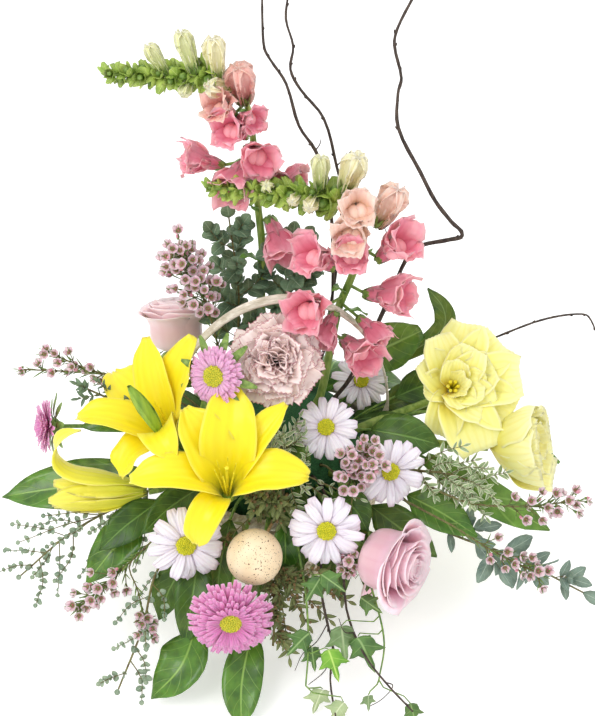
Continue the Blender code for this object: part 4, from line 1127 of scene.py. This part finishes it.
# Each piece: its paints and its leaves. A leaf is its points, width, facing, paint and outline;
# the first leaf sits on the solid's own stem and the others on thin stalks of their own.
# The darker leaf paint is painted shade, given to leaves that lie deeper among the flowers.
leafPieces = {
    "salalLeft": ((salalLeaf, shadedLeaf), [
        ([(-104, -52, 112), (-148, -58, 104), (-182, -60, 99), (-213, -60, 92)], 38, (0.1, -0.5, 0.86), 0,
         ovate),
        ([(-90, -76, 104), (-116, -96, 96), (-134, -108, 84)], 26, (0.0, -0.7, 0.7), 1, ovate),
        ([(-92, -30, 138), (-128, -34, 146), (-150, -36, 143)], 15, (0.0, -0.7, 0.7), 0, strap),
        ([(-54, 20, 106), (-90, 30, 108), (-112, 40, 86)], 28, (-0.5, 0.2, 0.8), 1, ovate)]),
    "salalLeftLow": ((salalLeaf, shadedLeaf), [
        ([(-104, -86, 92), (-124, -100, 78), (-146, -117, 56)], 33, (-0.3, -0.7, 0.6), 0, ovate),
        ([(-66, -112, 84), (-82, -128, 62), (-90, -138, 40)], 26, (-0.1, -0.8, 0.5), 1, ovate),
        ([(-46, -40, 150), (-74, -66, 142), (-96, -84, 124)], 24, (0.2, -0.7, 0.7), 1, ovate),
        ([(-60, -66, 108), (-82, -92, 112), (-100, -112, 106)], 26, (0.1, -0.8, 0.6), 1, ovate)]),
    "salalFrontLeft": ((salalLeaf, shadedLeaf), [
        ([(-62, -150, 42), (-72, -176, 32), (-94, -189, 12)], 37, (-0.3, -0.6, 0.75), 0, ovate),
        ([(-60, -112, 84), (-64, -142, 66), (-70, -158, 34)], 27, (0.0, -0.9, 0.4), 1, ovate)]),
    "salalFront": ((salalLeaf, shadedLeaf), [
        ([(-20, -150, 40), (-27, -184, 24), (-27, -213, 10)], 30, (0.1, -0.5, 0.86), 0, strap),
        ([(14, -84, 128), (17, -104, 100), (16, -112, 66)], 25, (-0.1, -0.9, 0.3), 1, ovate),
        ([(4, -96, 104), (5, -114, 84), (2, -120, 54)], 20, (0.2, -0.9, 0.3), 0, ovate),
        ([(-36, -96, 104), (-44, -122, 78), (-46, -132, 46)], 28, (0.0, -0.9, 0.4), 1, ovate),
        ([(30, -96, 96), (42, -116, 78), (46, -124, 46)], 26, (0.1, -0.9, 0.4), 1, ovate),
        ([(-10, -100, 96), (-14, -118, 78), (-20, -126, 50)], 24, (-0.1, -0.9, 0.4), 1, ovate),
        ([(4, -96, 92), (8, -114, 80), (12, -122, 56)], 24, (0.1, -0.9, 0.4), 1, ovate),
        ([(6, -66, 138), (14, -78, 150), (20, -86, 142)], 22, (0.1, -0.8, 0.6), 1, ovate)]),
    "salalRightUp": ((salalLeaf, shadedLeaf), [
        ([(76, 56, 140), (88, 50, 152), (112, 44, 172)], 38, (0.0, -0.75, 0.65), 0,
         (0.3, 0.9, 1.0, 0.98, 0.7, 0.3)),
        ([(84, 22, 112), (104, 22, 118), (124, 18, 112)], 28, (0.1, -0.7, 0.7), 1, ovate),
        ([(66, -2, 108), (90, -6, 110), (112, -14, 98)], 30, (0.1, -0.7, 0.7), 1, ovate),
        ([(50, 34, 106), (84, 52, 112), (112, 62, 92)], 28, (0.4, 0.2, 0.9), 1, ovate),
        ([(56, 14, 104), (92, 18, 104), (116, 20, 80)], 28, (0.6, 0.0, 0.8), 1, ovate)]),
    "salalTall": ((shadedLeaf, salalLeaf), [
        ([(96, 46, 140), (128, 44, 174), (128, 46, 192), (115, 52, 208)], 17, (-0.2, -0.8, 0.4), 0, strap),
        ([(-48, 38, 106), (-66, 70, 108), (-76, 96, 84)], 30, (-0.2, 0.6, 0.8), 0, ovate),
        ([(-22, 44, 108), (-30, 78, 112), (-34, 104, 88)], 32, (0.0, 0.6, 0.8), 1, ovate),
        ([(8, 46, 108), (8, 80, 110), (6, 105, 80)], 30, (0.1, 0.6, 0.8), 0, ovate),
        ([(34, 42, 108), (44, 76, 112), (52, 100, 90)], 32, (0.2, 0.6, 0.8), 1, ovate),
        ([(-8, 34, 118), (-12, 58, 128), (-10, 84, 120)], 28, (0.0, 0.5, 0.9), 1, ovate),
        ([(20, 30, 118), (28, 54, 126), (34, 78, 116)], 26, (0.1, 0.5, 0.9), 0, ovate),
        ([(-34, 28, 118), (-46, 50, 126), (-58, 72, 116)], 26, (-0.1, 0.5, 0.9), 1, ovate)]),
    "salalRightLow": ((salalLeaf, shadedLeaf), [
        ([(98, -66, 100), (124, -80, 94), (150, -92, 82)], 30, (0.1, -0.6, 0.8), 0, ovate),
        ([(70, -74, 96), (96, -90, 84), (120, -98, 66)], 30, (0.1, -0.8, 0.6), 1, ovate),
        ([(60, -90, 90), (68, -112, 78), (66, -124, 56)], 24, (0.1, -0.9, 0.4), 1, ovate),
        ([(40, -78, 112), (56, -98, 118), (66, -108, 104)], 26, (0.1, -0.8, 0.6), 1, ovate)]),
    "tulipLeafNear": ((tulipLeaf, shadedLeaf), [
        ([(112, -42, 116), (160, -70, 102), (206, -84, 80)], 26, (-0.4, -0.6, 0.7), 0, strap),
        ([(70, -36, 140), (98, -46, 142), (122, -42, 130)], 32, (0.0, -0.7, 0.7), 1, ovate)]),
    "tulipLeafFar": ((tulipLeaf, shadedLeaf), [
        ([(120, 6, 120), (170, 8, 104), (224, -8, 78)], 26, (0.5, -0.6, 0.6), 0, strap),
        ([(92, 20, 124), (120, 30, 128), (150, 34, 120)], 28, (0.1, -0.6, 0.8), 1, ovate)]),
}


def stalkFromFoam(shape, base, endWay):
    # a thin stalk from inside the foam to a leaf of its own
    root = foamAim + (base - foamAim).normalized() * stem["stalkDepth"] * mm
    addTube(shape, smoothRoute([root, base], base - root, endWay, 5), (0.9, 0.9), 0, 6)


def makeBroadLeaves():
    for name, (paints, leaves) in leafPieces.items():
        shape = startShape()
        for index, (points, width, face, paint, outline) in enumerate(leaves):
            places = [Vector(point) * mm for point in points]
            line = smoothRoute(places, places[1] - places[0], places[-1] - places[-2], 6)
            if index:
                stalkFromFoam(shape, places[0], line[1] - line[0])
            else:
                addTube(shape, stemRoute(name, points[:1], line[1] - line[0]), (1.3, 1.1))
            addBlade(shape, line, face, width, outline, 1 + paint, phase=2.0 * index)
        finishPiece(shape, name, [stemGreen, *paints], "broad_leaf")


makeBroadLeaves()
print("broad leaves made")


# Small-leaved sprigs.


def leafTemplate(length, width, outline, cuts=(2, 5), cup=0.2, thickness=0.3, material=1):
    # a small leaf along +Y with its upper side to +Z
    shape = startShape()
    addPetal(shape, Matrix(), 0, (0, 0), (84, 88, 92, 98), length, width, outline, cup=cup, cuts=cuts,
             thickness=thickness, material=material)
    return keepTemplate(shape, "smallLeaf")


roundLeafShape = leafTemplate(11, 10.5, (0.15, 0.8, 1.0, 1.0, 0.75, 0.25))
ovalLeafShape = leafTemplate(20, 10.5, (0.15, 0.75, 1.0, 0.95, 0.7, 0.12))
narrowLeafShape = leafTemplate(12, 4.6, (0.2, 0.8, 1.0, 0.9, 0.6, 0.1))
needleShape = leafTemplate(9, 1.1, (0.8, 1.0, 0.9, 0.3), cuts=(1, 2), cup=0.0, thickness=0.35, material=5)

# Each sprig: its points, leaf shape and paint, leaf size, pairs on the stem, side shoots, their length,
# leaf pairs on each and how far the shoots spread.
sprigs = {
    "eucalyptusBackLeft": ([(-32, 46, 150), (-32, 54, 205), (-38, 64, 266)],
                           roundLeafShape, darkGreyLeaf, 1.35, 6, 11, 36, 3, 1.1),
    "eucalyptusBackMiddle": ([(8, 46, 150), (5, 54, 200), (6, 62, 246)],
                             roundLeafShape, darkGreyLeaf, 1.35, 6, 11, 38, 3, 1.1),
    "eucalyptusBackRight": ([(18, 58, 160), (24, 62, 205), (24, 72, 238)],
                            narrowLeafShape, darkGreyLeaf, 0.9, 4, 4, 20, 2, 0.9),
    "eucalyptusLeft": ([(-98, -34, 146), (-122, -32, 164), (-150, -30, 180)],
                       narrowLeafShape, darkGreyLeaf, 0.75, 6, 7, 22, 4, 0.8),
    "eucalyptusLowLeft": ([(-100, -64, 102), (-156, -84, 80), (-196, -108, 56)],
                          roundLeafShape, greyLeaf, 0.50, 7, 15, 58, 5, 1.5),
    "eucalyptusFrontLeft": ([(-90, -120, 76), (-100, -158, 54), (-117, -190, 24)],
                            roundLeafShape, greyLeaf, 0.52, 5, 9, 38, 4, 1.4),
    "eucalyptusRight": ([(126, -84, 80), (176, -98, 67), (230, -120, 50)],
                        ovalLeafShape, blueLeaf, 1.2, 5, 4, 24, 2, 1.1),
    "pittosporumRight": ([(104, -62, 122), (128, -68, 124), (154, -76, 118)],
                         narrowLeafShape, edgedLeaf, 0.78, 8, 15, 40, 6, 1.1),
    "pittosporumMiddle": ([(8, -84, 128), (2, -74, 148), (4, -66, 164)],
                          narrowLeafShape, edgedLeaf, 0.75, 7, 15, 36, 5, 1.3),
}


def growShoots(shape, route, rand, first, count, length, spread, radius):
    # side shoots that leave the stem in a spiral and arch up and outwards
    shoots = []
    for index in range(count):
        share = first + (0.95 - first) * (index + 0.5) / count
        point, way = alongRoute(route, share)
        out = turnOut(way, goldenTurn * index + rand.uniform(-0.4, 0.4))
        out = (out * spread + way * 0.9 + Vector((0, -0.25, 0.1))).normalized()
        reach = length * rand.uniform(0.65, 1.1) * (1.15 - 0.45 * share) * mm
        bend = (out + way * 0.5 + Vector(rand.uniform(-0.3, 0.3) for _ in range(3))).normalized()
        half, end = point + out * reach * 0.5, point + (out + bend) * reach * 0.5
        line = smoothRoute([point, half, end], out, bend, 3)
        if line[-1].z < lowestTip["shoot"] * mm:
            continue
        addTube(shape, line, (radius, radius * 0.6), 0, 5)
        shoots.append(line)
    return shoots


def shootTo(shape, route, tip):
    # a side shoot from the middle of a stem to a chosen tip
    end = Vector(tip) * mm
    point, way = alongRoute(route, 0.55)
    line = smoothRoute([point, point.lerp(end, 0.5) + Vector((0, -2, 4)) * mm, end], way, end - point, 4)
    addTube(shape, line, (0.6, 0.4), 0, 5)
    return line


def dressLine(shape, line, first, pairs, size, template, rand, lift=0.7):
    # leaves in opposite pairs, each pair turned from the last, and one at the tip
    for index in range(pairs):
        point, way = alongRoute(line, first + (1 - first) * (index + 0.3) / pairs)
        out = turnOut(way, 1.4 * index + rand.uniform(-0.3, 0.3))
        for hand in (-1, 1):
            along = out * hand + way * lift + Vector((0, 0, rand.uniform(-0.2, 0.2)))
            face = way * 0.8 + Vector((rand.uniform(-0.3, 0.3), -0.6, 0.8))
            stampShape(shape, template, bladeMatrix(point, along, face)
                       @ Matrix.Scale(size * rand.uniform(0.6, 1.2), 4))
    stampShape(shape, template, bladeMatrix(line[-1], line[-1] - line[-2], (0, -0.6, 0.8))
               @ Matrix.Scale(size * 0.8, 4))


lowestTip = {"shoot": 4, "cup": 5}  # nothing grows nearer to the ground than this
longShoots = {  # where some sprigs send a longer shoot
    "pittosporumMiddle": [(20, -104, 143), (42, -104, 128), (60, -100, 130), (14, -106, 124)],
    "eucalyptusLowLeft": [(-176, -84, 96), (-196, -94, 78)],
}


def makeSprigs():
    for name, plan in sprigs.items():
        points, template, paint, size, pairs, shoots, length, perShoot, spread = plan
        rand = random.Random(name)
        shape = startShape()
        route = stemRoute(name, points)
        addTube(shape, route, (1.3, 0.7), 0, 7)
        first = 7 / len(route)
        dressLine(shape, route, first, pairs, size, template, rand)
        lines = growShoots(shape, route, rand, first, shoots, length, spread, 0.5)
        lines += [shootTo(shape, route, tip) for tip in longShoots.get(name, ())]
        for line in lines:
            dressLine(shape, line, 0.25, perShoot, size * 0.85, template, rand)
        finishPiece(shape, name, [redTwig, paint], "grey_leaf")


# Each tuft: its points and the tips of its longer shoots.
seeded = {
    "seededFoliageEgg": ([(-2, -86, 116), (-8, -98, 126), (-14, -106, 136)],
                         [(-10, -108, 136), (0, -104, 134), (3, -108, 112), (8, -104, 126),
                          (-46, -118, 96)]),
    "seededFoliageLow": ([(0, -106, 94), (-2, -140, 72), (-4, -168, 46)],
                         [(-22, -134, 74), (14, -142, 62), (2, -158, 44), (22, -150, 48), (-12, -152, 54),
                          (8, -166, 30), (26, -136, 70), (20, -124, 64), (36, -126, 58), (46, -124, 76),
                          (38, -140, 42), (52, -132, 54)]),
}


def makeSeeded():
    # tufts of small dull leaves with clustered brown seed heads, filling in round the egg
    for name, (points, tips) in seeded.items():
        rand = random.Random(name)
        shape = startShape()
        route = stemRoute(name, points)
        addTube(shape, route, (1.3, 0.9), 0, 7)
        lines = growShoots(shape, route, rand, 0.4, 7, 22, 1.0, 0.5)
        lines += [shootTo(shape, route, tip) for tip in tips]
        for line in lines:
            dressLine(shape, line, 0.2, 6, 0.8, narrowLeafShape, rand)
            for _ in range(14):  # seed heads
                point, _ = alongRoute(line, rand.uniform(0.35, 1.0))
                jitter = Vector(rand.uniform(-3.2, 3.2) for _ in range(3)) * mm
                size = rand.uniform(0.8, 1.6)
                addBall(shape, point + jitter, (size, size, size * 1.2), 2, 1)
        finishPiece(shape, name, [redTwig, seedLeaf, seedBrown], "broad_leaf")


makeSprigs()
makeSeeded()
print("sprigs made")


# Waxflower.

# Each sprig: its points, cups, how far they spread, and needle pairs along the stem.
waxflowers = {
    "waxflowerBack": ([(-44, 6, 178), (-54, 8, 226), (-72, 14, 268)], 56, 32, 26),
    "waxflowerMiddle": ([(50, -72, 118), (56, -84, 138), (60, -90, 158)], 46, 34, 8),
    "waxflowerFarRight": ([(136, -88, 116), (180, -92, 114), (222, -88, 116)], 16, 20, 18),
    "waxflowerRight": ([(124, -98, 104), (158, -116, 92), (196, -126, 76)], 14, 16, 18),
    "waxflowerLeftUp": ([(-98, 12, 140), (-146, 10, 160), (-180, 16, 174)], 9, 14, 16),
    "waxflowerLeft": ([(-92, 30, 128), (-148, 32, 138), (-206, 30, 144)], 6, 10, 22),
    "waxflowerFrontLeft": ([(-96, -104, 88), (-120, -122, 74), (-150, -140, 54)], 18, 20, 34),
}

# Smaller clusters on a side shoot: where the shoot ends, its cups and how far they spread.
sideClusters = {
    "waxflowerMiddle": [((52, -128, 89), 12, 16)],
    "waxflowerFrontLeft": [((-97, -158, 54), 12, 13)],
}


def cupTemplate():
    # one blossom: five round petals on a green cup, a maroon ring and a pale heart inside
    shape = startShape()
    addTube(shape, [Vector((0, 0, z)) * mm for z in (-1.5, 0, 1.5)], (0.7, 1.6, 2.1), 4)
    for index in range(5):
        addPetal(shape, Matrix(), 72 * index, (1.7, 1.0), (60, 56, 30, -6), 5.2, 4.8,
                 (0.6, 1.0, 0.95, 0.45), cup=0.35, cuts=(2, 3), thickness=0.25)
    addBall(shape, Vector((0, 0, 1.7)) * mm, (1.6, 1.6, 0.6), 2, 1)
    addBall(shape, Vector((0, 0, 2.3)) * mm, (0.7, 0.7, 0.4), 4, 1)
    return keepTemplate(shape, "waxCup")


def waxBudTemplate():
    shape = startShape()
    addBall(shape, Vector((0, 0, 1.4)) * mm, (1.5, 1.5, 2.0), 3, 1)
    addBall(shape, Vector((0, 0, -0.4)) * mm, (1.1, 1.1, 1.4), 4, 1)
    return keepTemplate(shape, "waxBud")


def addCups(shape, route, start, cups, spread, rand, cup, bud):
    # blossoms and round buds on thin stalks, all round the last stretch of a stem
    for index in range(cups):
        share = start + (1 - start) * (index + 0.5) / cups
        point, way = alongRoute(route, share)
        out = turnOut(way, goldenTurn * index)
        out = (out * rand.uniform(0.35, 1.0) + way * 0.6 + Vector((0, -0.3, 0.25))).normalized()
        reach = spread * rand.uniform(0.35, 1.0) * (1.2 - 0.5 * share)
        tip = point + out * reach * mm
        if tip.z < lowestTip["cup"] * mm:
            continue
        line = smoothRoute([point, point.lerp(tip, 0.5), tip], (out + way).normalized(), out, 2)
        addTube(shape, line, (0.45, 0.4), 0, 4)
        look = out * 0.7 + Vector((rand.uniform(-0.4, 0.4), -0.6, 0.55))
        stampShape(shape, cup, facingMatrix(tip / mm, look) @ Matrix.Scale(rand.uniform(0.72, 0.98), 4))
        if index % 2:
            side = point.lerp(tip, 0.75) + Vector(rand.uniform(-3, 3) for _ in range(3)) * mm
            stampShape(shape, bud, facingMatrix(side / mm, out))
        dressLine(shape, line, 0.2, 2, 0.8, needleShape, rand, lift=1.4)


def makeWaxflowers():
    cup, bud = cupTemplate(), waxBudTemplate()
    for name, (points, cups, spread, needles) in waxflowers.items():
        rand = random.Random(name)
        shape = startShape()
        route = stemRoute(name, points)
        addTube(shape, route, (1.0, 0.6), 0, 6)
        dressLine(shape, route, 0.38, needles, 1.0, needleShape, rand, lift=1.6)
        addCups(shape, route, 0.60, cups, spread, rand, cup, bud)
        for tip, extraCups, extraSpread in sideClusters.get(name, []):
            line = shootTo(shape, route, tip)
            dressLine(shape, line, 0.3, 8, 0.9, needleShape, rand, lift=1.6)
            addCups(shape, line, 0.7, extraCups, extraSpread, rand, cup, bud)
        finishPiece(shape, name, [redTwig, waxPetal, waxHeart, waxBud, calyxGreen, needleLeaf],
                    "waxflower_petal")


makeWaxflowers()
print("waxflowers made")


# Ivy.

# Each vine: its points and its leaves: middle, the way the tip points, facing, width, paint.
vines = {
    "ivyLeft": ([(14, -106, 94), (20, -140, 72), (22, -170, 50), (20, -190, 28)], [
        ((17, -172, 58), (-0.5, -0.3, -0.4), (0.1, -0.8, 0.6), 24, 0),
        ((25, -174, 44), (0.1, -0.4, -0.9), (0.3, -0.9, 0.3), 20, 0),
        ((39, -180, 46), (0.3, -0.5, -0.8), (-0.1, -0.8, 0.6), 26, 1),
        ((30, -190, 16), (-0.3, -0.2, -0.9), (0.2, -0.9, 0.4), 24, 2),
        ((27, -150, 92), (-0.4, -0.5, -0.4), (0.1, -0.7, 0.7), 22, 0),
        ((37, -152, 100), (0.5, -0.3, -0.2), (0.0, -0.7, 0.7), 22, 0),
        ((44, -200, 14), (-0.4, -0.3, -0.5), (0.1, -0.8, 0.6), 21, 2)]),
    "ivyRight": ([(56, -104, 92), (72, -140, 62), (78, -162, 42), (74, -180, 22)], [
        ((47, -166, 54), (0.1, -0.4, -0.8), (0.1, -0.8, 0.5), 30, 3),
        ((62, -172, 50), (0.4, -0.3, -0.8), (-0.2, -0.9, 0.4), 32, 0),
        ((98, -200, 12), (0.2, -0.5, -0.6), (0.0, -0.7, 0.7), 18, 0),
        ((66, -192, 14), (0.0, -0.3, -0.9), (0.3, -0.9, 0.3), 14, 3),
        ((66, -144, 66), (0.6, -0.4, -0.2), (0.1, -0.7, 0.7), 20, 0)]),
}


def ivyTemplate():
    # a five-lobed leaf about 1 mm wide, its stalk end at the origin and its long lobe along +Y
    shape = startShape()
    spokes = 40
    disc = bmesh.ops.create_circle(shape, cap_ends=True, cap_tris=True, segments=spokes,
                                   radius=1.0)["verts"]
    middle = next(vert for vert in disc if len(vert.link_edges) > 4)
    bmesh.ops.subdivide_edges(shape, edges=list(middle.link_edges), cuts=2)
    layer = shape.loops.layers.uv["UVMap"]
    lobes = ((90, 0.62, 15), (28, 0.44, 15), (152, 0.44, 15), (-38, 0.26, 17), (218, 0.26, 17))
    for vert in shape.verts:
        share = min(vert.co.length, 1.0)
        angle = math.degrees(math.atan2(vert.co.y, vert.co.x))
        reach = 0.30
        for middleAngle, height, spread in lobes:
            gap = (angle - middleAngle + 180) % 360 - 180
            reach = max(reach, height * math.exp(-(gap / spread) ** 2) + 0.08)
        if vert.co.length > 0.01:
            way = vert.co.normalized()
            vert.co = Vector((way.x * reach * share, way.y * reach * share + 0.28,
                              0.10 * share * share * (1 - 1.5 * abs(way.x)))) * mm
        else:
            vert.co = Vector((0, 0.28, 0.0)) * mm
    for face in shape.faces:
        for loop in face.loops:
            loop[layer].uv = (0.5 + loop.vert.co.x / mm, loop.vert.co.y / mm)
    finishSheet(shape, shape.verts[:], 0.02, 1)
    bmesh.ops.recalc_face_normals(shape, faces=shape.faces[:])
    return keepTemplate(shape, "ivyLeaf")


def makeIvy():
    template = ivyTemplate()
    for name, (points, leaves) in vines.items():
        shape = startShape()
        route = stemRoute(name, points)
        addTube(shape, route, (1.1, 0.6), 0, 7)
        for middle, way, face, width, paint in leaves:
            base = Vector(middle) * mm - Vector(way).normalized() * width * 0.3 * mm
            near = nearestPoint(route, base)
            stalk = smoothRoute([near, base], Vector((0, -0.5, -0.3)), Vector(way), 4)
            addTube(shape, stalk, (0.6, 0.5), 0, 5)
            stampShape(shape, repaintTemplate(template, {1: 1 + paint}), bladeMatrix(base, way, face)
                       @ Matrix.Scale(width, 4))
        finishPiece(shape, name, [stemGreen, ivyLeaf, brightIvyLeaf, paleIvyLeaf, greyIvyLeaf], "ivy_leaf")


makeIvy()
print("ivy made")


# Floor, light and camera.


# In metres. Each lamp: its name, place, size and power. The floor's glow keeps the shadow light.
light = {"fill": 1.05, "floorGlow": 0.3, "floorSize": 3.0,
         "lamps": [("keyLamp", (-0.9, -0.9, 1.6), 0.9, 13), ("rimLamp", (1.2, 0.5, 1.3), 1.2, 4)]}
view = {"target": (0.014, 0.0447, 0.1433), "distance": 1.2, "elevation": 40, "lens": 75.4, "sensor": 36}


def makeStage():
    floorShape = bmesh.new()
    bmesh.ops.create_grid(floorShape, x_segments=1, y_segments=1, size=light["floorSize"])
    floorMesh = bpy.data.meshes.new("paleFloor")
    floorShape.to_mesh(floorMesh)
    floorShape.free()
    floor = bpy.data.objects.new("paleFloor", floorMesh)
    bpy.context.scene.collection.objects.link(floor)
    material, _, shader = startMaterial("matt white sweep", 0.9)
    shader.inputs["Base Color"].default_value = (0.92, 0.92, 0.92, 1)
    shader.inputs["Emission Color"].default_value = (1.0, 1.0, 1.0, 1)
    shader.inputs["Emission Strength"].default_value = light["floorGlow"]
    floorMesh.materials.append(material)

    world = bpy.data.worlds.new("softStudio")
    world.use_nodes = True
    sky = world.node_tree.nodes["Background"]
    sky.inputs["Color"].default_value = (1.0, 1.0, 1.0, 1)
    sky.inputs["Strength"].default_value = light["fill"]
    bpy.context.scene.world = world
    for name, place, size, power in light["lamps"]:
        lamp = bpy.data.lights.new(name, "AREA")
        lamp.size = size
        lamp.energy = power
        holder = bpy.data.objects.new(name, lamp)
        holder.location = place
        aim = Vector(view["target"]) - holder.location
        holder.rotation_euler = aim.to_track_quat("-Z", "Y").to_euler()
        bpy.context.scene.collection.objects.link(holder)


def makeCamera():
    lens = bpy.data.cameras.new("camera")
    lens.lens = view["lens"]
    lens.sensor_width = view["sensor"]
    camera = bpy.data.objects.new("camera", lens)
    rise = math.radians(view["elevation"])
    away = Vector((0, -math.cos(rise), math.sin(rise))) * view["distance"]
    camera.location = Vector(view["target"]) + away
    camera.rotation_euler = (-away).to_track_quat("-Z", "Y").to_euler()
    bpy.context.scene.collection.objects.link(camera)
    bpy.context.scene.camera = camera


bpy.context.scene.view_settings.view_transform = "Standard"  # petal colours stay as they were mixed
makeStage()
makeCamera()
print("arrangement finished")
